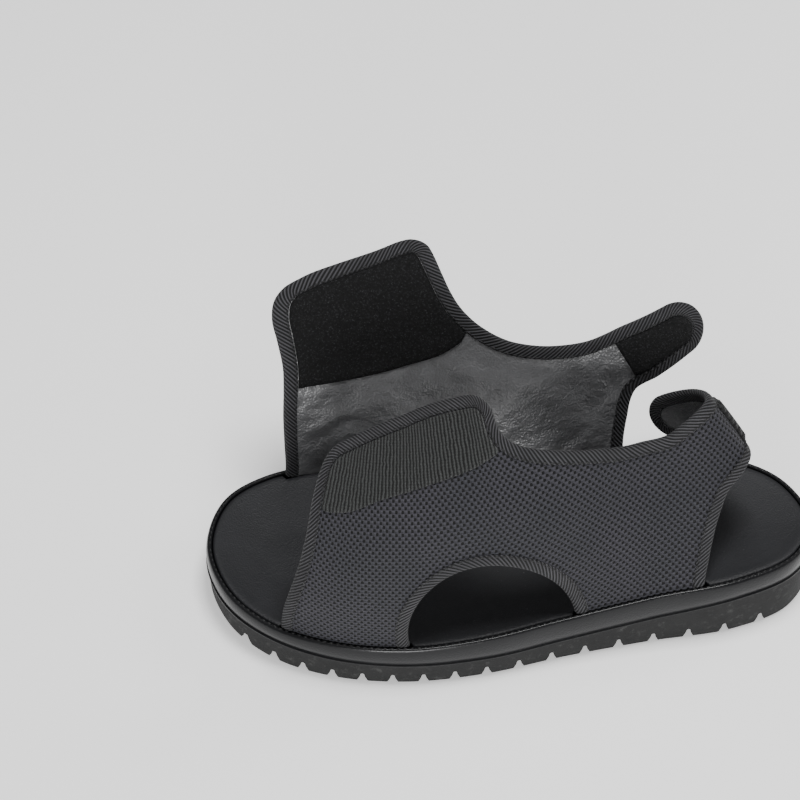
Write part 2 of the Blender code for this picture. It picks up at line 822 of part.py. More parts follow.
def new_material(name, colour, roughness, metallic=0.0):
    """Makes a plain material."""
    material = bpy.data.materials.new(name)
    material.use_nodes = True
    shader = material.node_tree.nodes["Principled BSDF"]
    shader.inputs["Base Color"].default_value = (*colour, 1.0)
    shader.inputs["Roughness"].default_value = roughness
    shader.inputs["Metallic"].default_value = metallic
    material.diffuse_color = (*colour, 1.0)
    return material


def groove_places():
    """Places the tread's grooves along the sole, closer together at the toe."""
    places = [FIRST_GROOVE - LENGTH / 2]
    while True:
        share = places[-1] / LENGTH + 0.5
        following = places[-1] + LUG_PITCH_TOE + (LUG_PITCH_HEEL - LUG_PITCH_TOE) * share
        if following > LENGTH / 2 - LAST_GROOVE:
            return places
        places.append(following)


def groove_cutter(collection):
    """Makes the bars that cut the grooves, each flared at its mouth, right across the sole."""
    work = bmesh.new()
    below = 0.004
    side = BALL_WIDTH * 0.75
    profile = [(-GROOVE_MOUTH / 2, -below), (-GROOVE_MOUTH / 2, 0.0), (-GROOVE_WIDTH / 2, GROOVE_FLARE),
               (-GROOVE_WIDTH / 2, GROOVE_HEIGHT - GROOVE_WIDTH / 3),
               (-GROOVE_WIDTH / 5, GROOVE_HEIGHT), (GROOVE_WIDTH / 5, GROOVE_HEIGHT),
               (GROOVE_WIDTH / 2, GROOVE_HEIGHT - GROOVE_WIDTH / 3),
               (GROOVE_WIDTH / 2, GROOVE_FLARE), (GROOVE_MOUTH / 2, 0.0), (GROOVE_MOUTH / 2, -below)]
    for x in groove_places():
        lift = ground_lift(x)
        near = work.faces.new([work.verts.new((x + dx, -side, lift + dz)) for dx, dz in profile])
        grown = bmesh.ops.extrude_face_region(work, geom=[near])
        far = [item for item in grown["geom"] if isinstance(item, bmesh.types.BMVert)]
        bmesh.ops.translate(work, verts=far, vec=(0.0, 2 * side, 0.0))
    cutter = new_object("groove_cutter", work, new_material("cutter", (0.8, 0.2, 0.2), 0.8), collection)
    cutter.hide_render = True
    cutter.display_type = "WIRE"
    return cutter


def make_outsole(ring, material, collection, cutters):
    """Makes the tread: a slab with the sole's outline, and grooves that part its lugs."""
    rows = [
        (OUTSOLE_UNDERCUT + OUTSOLE_EDGE_ROUND, ground_lift),
        (OUTSOLE_UNDERCUT, lambda x: ground_lift(x) + OUTSOLE_EDGE_ROUND),
        (OUTSOLE_UNDERCUT / 2, outsole_top),
    ]
    outsole = sole_solid("outsole", ring, rows, material, collection)
    cut = outsole.modifiers.new("grooves", "BOOLEAN")
    cut.operation = "DIFFERENCE"
    cut.solver = "EXACT"
    cut.object = groove_cutter(cutters)
    return outsole


def make_midsole(ring, material, collection):
    """Makes the wrapped platform: a bead at its foot, a soft side and a lip round the footbed."""
    def up(share):
        return lambda x: foot(x) + (rim(x) - foot(x)) * share

    def foot(x):
        return outsole_top(x) + GAP

    rows = [
        (OUTSOLE_UNDERCUT / 2, foot),
        (0.0, lambda x: foot(x) + RAND_BEAD / 2),
        (0.0, lambda x: foot(x) + RAND_BEAD),
        (RAND_BEAD / 4, up(0.5)),
        (LIP_SETBACK * 0.45, lambda x: rim(x) - RAND_SHOULDER),
        (LIP_SETBACK, rim),
        (LIP_SETBACK + LIP, rim),
        (LIP_SETBACK + LIP, lambda x: rim(x) - RECESS),
    ]
    return sole_solid("midsole", ring, rows, material, collection)


def sewn_stretches(quarters):
    """Finds where round the outline the feet of the quarters stand, as pairs of distances."""
    runs = distances(FINE_OUTLINE)
    stretches = []
    for quarter, edge, arch in quarters:
        for start, stop in ((edge[0, 0], arch[-1, 0]), (arch[0, 0], edge[-1, 0])):
            ends = []
            for along in (start, stop):
                foot, _, _ = quarter.foot_frame(along)
                ends.append(runs[np.argmin(np.linalg.norm(FINE_OUTLINE - foot, axis=1))])
            stretches.append((min(ends) - FOOTBED_CLEAR, max(ends) + FOOTBED_CLEAR))
    return stretches


def make_footbed(ring, stretches, material, collection):
    """Makes the padded footbed: it fills the recess, and steps in where a quarter is sewn."""
    beside = LIP_SETBACK + LIP + GAP
    behind = beside + WALL + GAP

    def setback(run):
        near = max(min((run - low) / FOOTBED_RAMP + 1, (high - run) / FOOTBED_RAMP + 1)
                   for low, high in stretches)
        return beside + (behind - beside) * min(1.0, max(0.0, near))

    insets = np.array([setback(run) for run in ring.runs])
    outer = ring.inset(insets)
    inner = ring.inset(insets + FOOTBED_ROUND)
    half = BALL_WIDTH / 2

    def edge_height(x, y):
        return rim(x) - FOOTBED_EDGE_DROP

    def top_height(x, y):
        near = np.min(np.hypot(outer[:, 0] - x, outer[:, 1] - y)) / half
        return edge_height(x, y) - FOOTBED_DISH * min(1.0, near * 1.6) ** 0.8

    def floor_height(x, y):
        return rim(x) - RECESS + GAP

    work = bmesh.new()

    def lift(flat, height):
        return [work.verts.new((x, y, height(x, y))) for x, y in flat]

    floor = lift(outer, floor_height)
    shoulder = lift(outer, lambda x, y: edge_height(x, y) - FOOTBED_ROUND * 0.6)
    crest = lift(inner, edge_height)
    stack_rings(work, [floor, shoulder, crest])
    close_ring(work, outer, floor, floor_height, SOLE_GRID)
    close_ring(work, inner, crest, top_height, SOLE_GRID * 0.7)
    return new_object("footbed", work, material, collection)


def make_quarter(side_name, quarter, edge, arch, reach, width, materials, collection):
    """Makes one quarter of the upper with the tapes that bind its free edge and its cut-out."""
    regions = quarter_regions(edge, arch)
    spots = quarter_spots(quarter, regions[0][0], edge, arch, reach, width)
    sheet("quarter_" + side_name, regions, spots, quarter.place, materials["mesh"], collection)
    tape("tape_" + side_name + "_edge", quarter, edge, materials["tape"], collection)
    tape("tape_" + side_name + "_arch", quarter, arch, materials["tape"], collection)


def centre_over_origin(things, followers):
    """Moves everything so that the middle of the overall length and width is over the origin."""
    corners = np.array([vert.co[:2] for thing in things for vert in thing.data.vertices])
    middle = (corners.min(axis=0) + corners.max(axis=0)) / 2
    for thing in [*things, *followers]:
        thing.data.transform(Matrix.Translation((-middle[0], -middle[1], 0.0)))


def build():
    """Builds the whole sandal."""
    for thing in list(bpy.data.objects):
        bpy.data.objects.remove(thing, do_unlink=True)
    sandal = bpy.data.collections.new("wide_sandal")
    cutters = bpy.data.collections.new("cutters")
    for collection in (sandal, cutters):
        bpy.context.scene.collection.children.link(collection)
    materials = {
        "outsole": new_material("outsole_foam", (0.035, 0.036, 0.036), 0.75),
        "rand": new_material("rand_leather", (0.045, 0.046, 0.048), 0.38),
        "footbed": new_material("footbed_leather", (0.035, 0.036, 0.038), 0.5),
        "mesh": new_material("upper_mesh", (0.04, 0.042, 0.048), 0.8),
        "tape": new_material("binding_tape", (0.025, 0.025, 0.027), 0.7),
        "loop": new_material("loop_fabric", (0.03, 0.03, 0.032), 0.85),
        "hook": new_material("hook_fabric", (0.012, 0.012, 0.013), 0.9),
    }
    lateral = Quarter(-1, LATERAL_HEIGHT, LATERAL_LEAN, LATERAL_ROOT, LATERAL_STRAP_RISE,
                      LATERAL_STRAP_REACH, LATERAL_CURL, LATERAL_REAR[-1].along)
    medial = Quarter(1, FLAP_HEIGHT, MEDIAL_LEAN, MEDIAL_ROOT, MEDIAL_STRAP_RISE,
                     MEDIAL_STRAP_REACH, MEDIAL_CURL, MEDIAL_REAR[-1].along)
    lateral_strap = strap_outline(lateral, LATERAL_STRAP_REACH, LATERAL_STRAP_TOP,
                                  LATERAL_STRAP_FOOT, LATERAL_STRAP_TIP)
    medial_strap = strap_outline(medial, MEDIAL_STRAP_REACH, MEDIAL_STRAP_TOP,
                                 MEDIAL_STRAP_FOOT, MEDIAL_STRAP_TIP)
    lateral_edge = quarter_edge(lateral, LATERAL_FRONT, LATERAL_REAR, lateral_strap)
    medial_edge = quarter_edge(medial, MEDIAL_FRONT, MEDIAL_REAR, medial_strap)
    lateral_arch = lateral_arch_edge()
    medial_arch = medial_arch_edge(medial)

    stretches = sewn_stretches([(lateral, lateral_edge, lateral_arch),
                                (medial, medial_edge, medial_arch)])
    ring = SoleRing(stretches)
    make_outsole(ring, materials["outsole"], sandal, cutters)
    make_midsole(ring, materials["rand"], sandal)
    make_footbed(ring, stretches, materials["footbed"], sandal)
    make_quarter("lateral", lateral, lateral_edge, lateral_arch, LATERAL_STRAP_REACH,
                 LATERAL_STRAP_TIP, materials, sandal)
    make_quarter("medial", medial, medial_edge, medial_arch, MEDIAL_STRAP_REACH,
                 MEDIAL_STRAP_TIP, materials, sandal)

    seat = WALL / 2 + GAP
    front_patch("patch_front_loop", lateral, lateral_edge, LATERAL_PATCH_FOOT,
                (seat, seat + PATCH), materials["loop"], sandal)
    front_patch("patch_front_hook", medial, medial_edge, MEDIAL_PATCH_FOOT,
                (-seat - PATCH, -seat), materials["hook"], sandal)
    strap_patch("patch_heel_loop", lateral, lateral_edge, HEEL_LOOP_START,
                (seat, seat + HEEL_LOOP_PATCH), LATERAL_STRAP_TIP, materials["loop"], sandal)
    strap_patch("patch_heel_hook", medial, medial_edge, HEEL_HOOK_START,
                (-seat - PATCH, -seat), MEDIAL_STRAP_TIP, materials["hook"], sandal)
    centre_over_origin(sandal.objects, cutters.objects)


build()
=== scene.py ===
"""Looks of the extra wide sandal for the left foot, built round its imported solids.

Metres, +Z up, toe to -X, medial side to +Y, as in the solids.
"""
from collections import namedtuple
from math import ceil, cos, pi, radians, sin

import bmesh
import bpy
import numpy as np
from mathutils import Matrix, Vector


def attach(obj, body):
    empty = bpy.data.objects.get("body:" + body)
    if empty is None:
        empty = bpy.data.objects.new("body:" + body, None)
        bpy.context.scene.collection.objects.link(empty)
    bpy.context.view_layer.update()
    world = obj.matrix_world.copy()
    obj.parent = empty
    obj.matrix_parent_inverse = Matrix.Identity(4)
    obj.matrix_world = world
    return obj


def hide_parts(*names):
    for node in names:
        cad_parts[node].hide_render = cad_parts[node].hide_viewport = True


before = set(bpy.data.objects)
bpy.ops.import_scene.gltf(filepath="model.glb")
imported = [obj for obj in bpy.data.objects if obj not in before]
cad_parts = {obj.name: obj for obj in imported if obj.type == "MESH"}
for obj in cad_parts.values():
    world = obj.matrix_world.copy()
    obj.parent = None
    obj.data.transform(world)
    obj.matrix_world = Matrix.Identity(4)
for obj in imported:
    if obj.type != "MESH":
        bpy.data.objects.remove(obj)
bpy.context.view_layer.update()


# Outsole: one slab of dark foam rubber, moulded to the outline of the sole.
# Notches right across it part the lugs, and the toe lifts a little off the ground.
LENGTH = 0.285
BALL_WIDTH = 0.117
SOLE_AXIS = (-0.00002, -0.01799)
OUTSOLE_TOE = 0.0155
OUTSOLE_FOREFOOT = 0.0123
OUTSOLE_HEEL = 0.0238
TOE_SPRING = 0.003
TOE_SPRING_REACH = 0.055
OUTLINE_POINTS = 320
Station = namedtuple("Station", "along medial lateral")
OUTLINE = [
    Station(0.00, 0.10, -0.10),
    Station(0.03, 0.60, 0.39),
    Station(0.10, 0.87, 0.735),
    Station(0.20, 0.985, 0.95),
    Station(0.32, 0.965, 1.035),
    Station(0.45, 0.89, 0.985),
    Station(0.58, 0.83, 0.845),
    Station(0.72, 0.795, 0.725),
    Station(0.86, 0.745, 0.63),
    Station(0.96, 0.455, 0.41),
    Station(1.00, -0.05, 0.05),
]
Rise = namedtuple("Rise", "along toe heel")
OUTSOLE_LINE = [
    Rise(0.00, 1.0, 0.0),
    Rise(0.10, 0.85, 0.0),
    Rise(0.20, 0.38, 0.0),
    Rise(0.35, 0.0, 0.0),
    Rise(0.50, 0.0, 0.0),
    Rise(0.60, 0.0, 0.13),
    Rise(0.75, 0.0, 0.52),
    Rise(0.85, 0.0, 0.87),
    Rise(1.00, 0.0, 1.0),
]
FIRST_GROOVE = 0.0177
LAST_GROOVE = 0.020
LUG_PITCH_TOE = 0.0125
LUG_PITCH_HEEL = 0.0183
GROOVE_HEIGHT = 0.0062
GROOVE_WIDTH = 0.0018
GROOVE_MOUTH = 0.0056
GROOVE_FLARE = 0.0038
GROOVE_REACH = 0.75
AXIS_REACH = 0.36
AXIS_BEND = ((-0.14, 0.0, 0.14), (0.001, 0.0, 0.004))


def smooth(points, closed=False, steps=12):
    """Reads a centripetal Catmull-Rom curve through the points as a fine polyline."""
    points = np.array(points, float)
    if closed:
        padded = np.vstack([points[-1], points, points[:2]])
    else:
        padded = np.vstack([2 * points[0] - points[1], points, 2 * points[-1] - points[-2]])
    fine = []
    for p0, p1, p2, p3 in zip(padded, padded[1:], padded[2:], padded[3:]):
        t1 = np.linalg.norm(p1 - p0) ** 0.5
        t2 = t1 + np.linalg.norm(p2 - p1) ** 0.5
        t3 = t2 + np.linalg.norm(p3 - p2) ** 0.5
        for t in np.linspace(t1, t2, steps, endpoint=False):
            a1 = p0 + (p1 - p0) * t / t1
            a2 = p1 + (p2 - p1) * (t - t1) / (t2 - t1)
            a3 = p2 + (p3 - p2) * (t - t2) / (t3 - t2)
            b1 = a1 + (a2 - a1) * t / t2
            b2 = a2 + (a3 - a2) * (t - t1) / (t3 - t1)
            fine.append(b1 + (b2 - b1) * (t - t1) / (t2 - t1))
    if not closed:
        fine.append(points[-1])
    return np.array(fine)


def distances(path):
    """Gives the distance from the start of a polyline to each of its points."""
    return np.concatenate([[0.0], np.cumsum(np.linalg.norm(np.diff(path, axis=0), axis=1))])


def read_along(wanted, runs, values):
    """Reads rows of values, given at distances along a line, at other distances."""
    return np.column_stack([np.interp(wanted, runs, column) for column in values.T])


def left_normals(path, closed=False, upright_ends=False):
    """Gives each point of a polyline the unit vector to its left."""
    if closed:
        tangents = np.roll(path, -1, axis=0) - np.roll(path, 1, axis=0)
    else:
        tangents = np.gradient(path, axis=0)
    if upright_ends:
        tangents[0] = (0.0, 1.0)
        tangents[-1] = (0.0, -1.0)
    tangents /= np.linalg.norm(tangents, axis=1)[:, None]
    return np.column_stack([-tangents[:, 1], tangents[:, 0]])


def height_line(rows, toe, forefoot, heel):
    """Works out the height of an edge along the sole from a table of rises."""
    line = smooth([(row.along, forefoot + row.toe * (toe - forefoot)
                    + row.heel * (heel - forefoot)) for row in rows])
    return lambda x: np.interp(np.asarray(x) / LENGTH + 0.5, line[:, 0], line[:, 1])


outsole_top = height_line(OUTSOLE_LINE, OUTSOLE_TOE, OUTSOLE_FOREFOOT, OUTSOLE_HEEL)


def ground_lift(x):
    """Gives the height of the tread above the ground, which the toe spring lifts."""
    share = np.maximum(0.0, 1.0 - (np.asarray(x) + LENGTH / 2) / TOE_SPRING_REACH)
    return TOE_SPRING * share ** 2


half_width = BALL_WIDTH / 2
medial_side = [((row.along - 0.5) * LENGTH, row.medial * half_width) for row in OUTLINE]
lateral_side = [((row.along - 0.5) * LENGTH, -row.lateral * half_width)
                for row in OUTLINE[-2:0:-1]]
fine_outline = smooth(medial_side + lateral_side, closed=True, steps=24)
fine_outward = left_normals(fine_outline, closed=True)
outline_runs = distances(np.vstack([fine_outline, fine_outline[:1]]))


def round_sole(values, wanted):
    """Reads values given at the points of the fine outline at distances round it."""
    return read_along(wanted, outline_runs, np.vstack([values, values[:1]]))


even_runs = np.linspace(0.0, outline_runs[-1], OUTLINE_POINTS, endpoint=False)
ring_base = round_sole(fine_outline, even_runs)
ring_outward = round_sole(fine_outward, even_runs)


def sole_ring(setback, height, base=ring_base, outward=ring_outward):
    """Gives a ring of points round the sole at a setback, its height a function of the place."""
    flat = base - outward * np.reshape(setback, (-1, 1))
    return np.column_stack([flat, height(flat[:, 0])])


def towards_axis(ring, share, height):
    """Draws a ring in towards the lengthwise axis of the sole by a share of the way."""
    x = np.clip(ring[:, 0], -LENGTH * AXIS_REACH, LENGTH * AXIS_REACH)
    flat = ring[:, :2] * (1 - share) + np.column_stack([x, np.interp(x, *AXIS_BEND)]) * share
    return np.column_stack([flat, height(flat[:, 0])])


def inward_rings(ring, height):
    """Carries a ring on nearly to the sole's axis, so that only a narrow gap is left to cap."""
    return [towards_axis(ring, share, height) for share in (0.5, 0.93)]


def pattern_layer(work):
    """Gives the layer that holds each vertex's place in the pattern of its material."""
    layers = work.verts.layers.float_vector
    return layers.get("pattern") or layers.new("pattern")


def skin(work, rings, marks=None, caps=None):
    """Skins rings of points: a circle is bent to the first ring and extruded to each next one.

    marks gives each point of each ring its place in the pattern of the material. caps names
    the operator that closes both ends.
    """
    layer = pattern_layer(work)
    verts = bmesh.ops.create_circle(work, segments=len(rings[0]), radius=1.0)["verts"]
    first = [edge for edge in work.edges if edge.verts[0] in verts and edge.verts[1] in verts]
    edges = first
    for number, ring in enumerate(rings):
        if number:
            made = bmesh.ops.extrude_edge_only(work, edges=edges)["geom"]
            fresh = {item for item in made if isinstance(item, bmesh.types.BMVert)}
            edges = [item for item in made if isinstance(item, bmesh.types.BMEdge)
                     and item.verts[0] in fresh and item.verts[1] in fresh]
            verts = [next(edge.other_vert(vert) for edge in vert.link_edges
                          if edge.other_vert(vert) in fresh) for vert in verts]
        for index, vert in enumerate(verts):
            vert.co = ring[index]
            vert[layer] = marks[number][index] if marks else (ring[index][0], ring[index][1], 0.0)
    for end in (first, edges):
        if caps == "fill":
            bmesh.ops.triangle_fill(work, edges=end, use_beauty=True)
        elif caps == "flat":
            bmesh.ops.contextual_create(work, geom=end)


def add_object(name, data):
    """Adds an object with its data to the scene."""
    made = bpy.data.objects.new(name, data)
    bpy.context.scene.collection.objects.link(made)
    return made


def settle(name, work, material, sharp=radians(40.0)):
    """Turns a finished bmesh into an object, smooth but for its borders and sharp edges."""
    bmesh.ops.recalc_face_normals(work, faces=work.faces[:])
    for face in work.faces:
        face.smooth = True
    for edge in work.edges:
        edge.smooth = len(edge.link_faces) == 2 and edge.calc_face_angle() < sharp
    mesh = bpy.data.meshes.new(name)
    work.to_mesh(mesh)
    work.free()
    mesh.materials.append(material)
    return add_object(name, mesh)


def onto_axis(work):
    """Moves a bmesh made about the sole's axis to the place of the sole."""
    bmesh.ops.translate(work, verts=work.verts[:], vec=(*SOLE_AXIS, 0.0))


def add_node(tree, kind, settings, sockets, output=0):
    """Adds a shader node: its settings first, then a value or a wire for each socket named."""
    made = tree.nodes.new(kind)
    for name, value in settings.items():
        if name == "stops":
            ramp = made.color_ramp
            while len(ramp.elements) < len(value):
                ramp.elements.new(0.5)
            for element, (place, colour) in zip(ramp.elements, value):
                element.position = place
                element.color = (*colour, 1.0)
        else:
            setattr(made, name, value)
    for name, value in sockets.items():
        if isinstance(value, Wire):
            tree.links.new(value.socket, made.inputs[name])
        else:
            made.inputs[name].default_value = value
    return Wire(tree, made.outputs[output])


class Wire:
    """A value in a material. Arithmetic on it adds Math nodes."""

    def __init__(self, tree, socket):
        self.tree = tree
        self.socket = socket

    def math(self, operation, first, second=0.0):
        return add_node(self.tree, "ShaderNodeMath", {"operation": operation},
                        {0: first, 1: second})

    def __add__(self, other):
        return self.math("ADD", self, other)

    def __sub__(self, other):
        return self.math("SUBTRACT", self, other)

    def __rsub__(self, other):
        return self.math("SUBTRACT", other, self)

    def __mul__(self, other):
        return self.math("MULTIPLY", self, other)

    __radd__ = __add__
    __rmul__ = __mul__


class Finish:
    """A material with a Principled shader, and the patterns that its finish is made from."""

    def __init__(self, name, **constants):
        self.material = bpy.data.materials.new(name)
        self.material.use_nodes = True
        self.tree = self.material.node_tree
        self.shader = self.tree.nodes["Principled BSDF"]
        for word, value in constants.items():
            socket = word.replace("_", " ").title().replace("Ior", "IOR")
            self.shader.inputs[socket].default_value = value

    def node(self, kind, settings, sockets, output=0):
        return add_node(self.tree, kind, settings, sockets, output)

    def place(self):
        """The place of a point on the object."""
        return self.node("ShaderNodeTexCoord", {}, {}, "Object")

    def stretched(self, *shares):
        """The place of a point, drawn out along each axis where the share is under one."""
        return self.node("ShaderNodeVectorMath", {"operation": "MULTIPLY"},
                         {0: self.place(), 1: shares})

    def pattern(self, axis):
        """A coordinate of the piece's own pattern, in metres."""
        mark = self.node("ShaderNodeAttribute", {"attribute_name": "pattern"}, {}, "Vector")
        return self.node("ShaderNodeSeparateXYZ", {}, {0: mark}, axis)

    def wave(self, distance, pitch, shift=0.0):
        """A sine wave along a distance, from 0 to 1."""
        angle = distance * (2 * pi / pitch) + shift
        return angle.math("SINE", angle) * 0.5 + 0.5

    def noise(self, size, detail=2.0, roughness=0.5, vector=None):
        """Soft noise of a grain size in metres, from 0 to 1."""
        return self.node("ShaderNodeTexNoise", {}, {
            "Vector": vector or self.place(), "Scale": 1.0 / size,
            "Detail": detail, "Roughness": roughness})

    def cells(self, size):
        """Distance to the middle of the nearest of many cells of a size in metres."""
        return self.node("ShaderNodeTexVoronoi", {"feature": "F1"}, {
            "Vector": self.place(), "Scale": 1.0 / size}, "Distance")

    def between(self, value, low, high):
        """Rises smoothly from 0 to 1 as a value goes from low to high."""
        return self.node("ShaderNodeMapRange", {"interpolation_type": "SMOOTHSTEP"}, {
            "Value": value, "From Min": low, "From Max": high})

    def mix(self, factor, first, second):
        """Mixes two colours."""
        def colour(value):
            return value if isinstance(value, Wire) else (*value, 1.0)
        return self.node("ShaderNodeMix", {"data_type": "RGBA"}, {
            "Factor": factor, 6: colour(first), 7: colour(second)}, 2)

    def feed(self, socket, wire):
        self.tree.links.new(wire.socket, self.shader.inputs[socket])

    def bump(self, height, depth):
        """Raises the surface by a height from 0 to 1 times a depth in metres."""
        self.feed("Normal", self.node("ShaderNodeBump", {}, {
            "Height": height, "Distance": depth, "Strength": 1.0}, "Normal"))


def outsole_foam():
    """Dull closed-cell foam rubber: faint mottling, fine pores, scuffs that catch the light."""
    foam = Finish("outsole foam", specular_ior_level=0.2)
    mottle = foam.noise(0.011, 4.0, 0.6)
    pores = foam.noise(0.0007, 3.0, 0.7)
    scuff = foam.between(foam.noise(0.004, 5.0, 0.7), 0.52, 0.75)
    base = foam.mix(mottle, (0.009, 0.0091, 0.0093), (0.019, 0.0191, 0.0192))
    foam.feed("Base Color", foam.mix(scuff * 0.4, base, (0.07, 0.07, 0.068)))
    foam.feed("Roughness", 0.62 + pores * 0.2 - scuff * 0.1)
    foam.bump(pores * 0.7 + mottle * 0.5, 0.00022)
    return foam.material


groove_top = [(GROOVE_WIDTH / 2 * cos(angle), GROOVE_HEIGHT - GROOVE_WIDTH / 2 * (1 - sin(angle)))
              for angle in np.linspace(0.0, pi / 2, 4)[:-1]]
groove_side = [(GROOVE_MOUTH / 2 + 0.0004, -0.004), (GROOVE_MOUTH / 2 + 0.0004, 0.0),
               (GROOVE_MOUTH / 2 - 0.0003, 0.0007), (GROOVE_WIDTH / 2 + 0.0003, GROOVE_FLARE)]
groove_half = groove_side + groove_top
groove_profile = groove_half + [(0.0, GROOVE_HEIGHT)] + [(-x, z) for x, z in groove_half[::-1]]

work = bmesh.new()
place = FIRST_GROOVE - LENGTH / 2
while place < LENGTH / 2 - LAST_GROOVE:
    lift = float(ground_lift(place))
    skin(work, [np.array([(place + x, side, lift + z) for x, z in groove_profile])
                for side in (-BALL_WIDTH * GROOVE_REACH, BALL_WIDTH * GROOVE_REACH)], caps="flat")
    place += LUG_PITCH_TOE + (LUG_PITCH_HEEL - LUG_PITCH_TOE) * (place / LENGTH + 0.5)
onto_axis(work)
foam = outsole_foam()
groove_bars = settle("groove_bars", work, foam)

work = bmesh.new()
outsole_rows = [(0.0026, 0.0), (0.0019, 0.00016), (0.00142, 0.0006), (0.0012, 0.0013)]
rings = [sole_ring(setback, lambda x: ground_lift(x) + up) for setback, up in outsole_rows]
rings.append(sole_ring(0.0008, lambda x: outsole_top(x) * 0.7 + ground_lift(x) * 0.3))
rings.append(sole_ring(0.0006, outsole_top))
skin(work, inward_rings(rings[0], ground_lift)[::-1] + rings
     + inward_rings(rings[-1], outsole_top), caps="fill")
onto_axis(work)
outsole = settle("outsole_tread", work, foam)
cut = outsole.modifiers.new("grooves", "BOOLEAN")
cut.operation = "DIFFERENCE"
cut.solver = "EXACT"
cut.object = groove_bars
evaluated = outsole.evaluated_get(bpy.context.evaluated_depsgraph_get())
carved = bpy.data.meshes.new_from_object(evaluated)
outsole.modifiers.clear()
bpy.data.objects.remove(groove_bars)
bpy.data.objects.remove(outsole)
work = bmesh.new()
work.from_mesh(carved)
outsole = settle("outsole_tread", work, foam, sharp=radians(30.0))
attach(outsole, "root")
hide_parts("outsole")


# Rand: the platform's soft side, wrapped in smooth synthetic leather and turned over at the rim.
# A thin bead runs along its foot, where the wrap meets the outsole.
RIM_TOE = 0.027
RIM_FOREFOOT = 0.0243
RIM_HEEL = 0.0365
GAP = 0.0003
RECESS = 0.006
LIP_WIDTH = 0.003
BEAD_HEIGHT = 0.0019
RIM_LINE = [
    Rise(0.00, 1.0, 0.0),
    Rise(0.10, 0.1, 0.0),
    Rise(0.20, 0.0, 0.0),
    Rise(0.35, 0.0, 0.02),
    Rise(0.50, 0.0, 0.19),
    Rise(0.60, 0.0, 0.33),
    Rise(0.75, 0.0, 0.70),
    Rise(0.85, 0.0, 0.88),
    Rise(1.00, 0.0, 1.0),
]
rim = height_line(RIM_LINE, RIM_TOE, RIM_FOREFOOT, RIM_HEEL)


def rand_leather():
    """Smooth coated leather: soft gloss, very fine grain, a few slow changes of tone."""
    wrap = Finish("rand leather", specular_ior_level=0.2, coat_weight=0.12, coat_roughness=0.06)
    grain = wrap.cells(0.0009)
    slow = wrap.noise(0.02, 3.0, 0.6)
    wrap.feed("Base Color", wrap.mix(slow, (0.004, 0.0041, 0.0048), (0.009, 0.0092, 0.0102)))
    wrap.feed("Roughness", 0.24 + slow * 0.12)
    wrap.bump(grain * 0.4 + slow, 0.00016)
    return wrap.material


def rand_foot(x):
    """Gives the height of the foot of the rand, just clear of the outsole."""
    return outsole_top(x) + GAP


def rand_side(share):
    """Gives a height function part of the way up the rand, above its bead."""
    return lambda x: (rand_foot(x) + BEAD_HEIGHT
                      + (rim(x) - rand_foot(x) - BEAD_HEIGHT) * share)


work = bmesh.new()
bead = [(0.00065, 0.0), (0.0002, 0.0001), (-0.0001, 0.00045), (-0.0001, 0.0009),
        (0.0002, 0.00125), (0.00055, 0.0014), (0.0006, 0.0017)]
rings = [sole_ring(setback, lambda x: rand_foot(x) + up) for setback, up in bead]
side = [(0.00045, 0.05), (0.0002, 0.18), (0.0001, 0.35), (0.00012, 0.52), (0.00022, 0.66),
        (0.00038, 0.78), (0.0006, 0.87), (0.0009, 0.94), (0.0013, 0.985), (0.0018, 1.0)]
rings += [sole_ring(setback, rand_side(share)) for setback, share in side]
lip = [(0.0024, 0.00008), (0.0028, 0.00035), (LIP_WIDTH, 0.0009), (LIP_WIDTH, RECESS)]
rings += [sole_ring(setback, lambda x: rim(x) - down) for setback, down in lip]
skin(work, inward_rings(rings[0], rand_foot)[::-1] + rings
     + inward_rings(rings[-1], lambda x: rim(x) - RECESS), caps="fill")
onto_axis(work)
rand = settle("rand", work, rand_leather())
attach(rand, "root")
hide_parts("midsole")


# Quarters: each side of the upper is cut flat and sewn into the groove round the footbed.
# The outer layer is a coarse black mesh, and the lining a smooth satin leather.
WALL = 0.0024
TAPE_WIDTH = 0.0060
SEAM_RISE = 0.0004
LATERAL_HEIGHT = 0.1225
FLAP_HEIGHT = 0.1215
ARCH_WIDTH = 0.0775
ARCH_HEIGHT = 0.0435
ARCH_SKEW = 0.008
ARCH_PLACE = -0.0115
Strap = namedtuple("Strap", "reach top foot tip")
LATERAL_STRAP = Strap(0.0902, (0.010, 0.0171), (0.017, 0.0250), 0.0277)
MEDIAL_STRAP = Strap(0.033, (0.0, 0.0158), (0.0, 0.0165), 0.028)
STRAP_RISE = radians(30.0)
BEND_STEPS = 120
WALL_CELL = 0.0018
WALL_TUCK = 0.0055
UNDER_TAPE = 0.0030
LAYER_SPLIT = 0.00001
EDGE_STEP = 0.0022
EDGE_TURN = radians(9.0)
Spot = namedtuple("Spot", "along up")
LATERAL_FRONT = [
    Spot(-0.389, 0.0),
    Spot(-0.384, 0.098),
    Spot(-0.373, 0.212),
    Spot(-0.363, 0.318),
    Spot(-0.357, 0.416),
    Spot(-0.355, 0.506),
    Spot(-0.357, 0.620),
    Spot(-0.3565, 0.702),
    Spot(-0.3515, 0.766),
    Spot(-0.335, 0.822),
    Spot(-0.309, 0.858),
    Spot(-0.260, 0.906),
    Spot(-0.193, 0.955),
    Spot(-0.126, 0.989),
    Spot(-0.063, 1.0),
    Spot(-0.028, 0.993),
    Spot(-0.009, 0.965),
    Spot(0.001, 0.920),
    Spot(0.003, 0.865),
    Spot(0.012, 0.816),
    Spot(0.033, 0.769),
    Spot(0.074, 0.717),
    Spot(0.137, 0.663),
    Spot(0.193, 0.625),
    Spot(0.232, 0.617),
]
LATERAL_ROOT = Spot(0.2631, 0.4615)
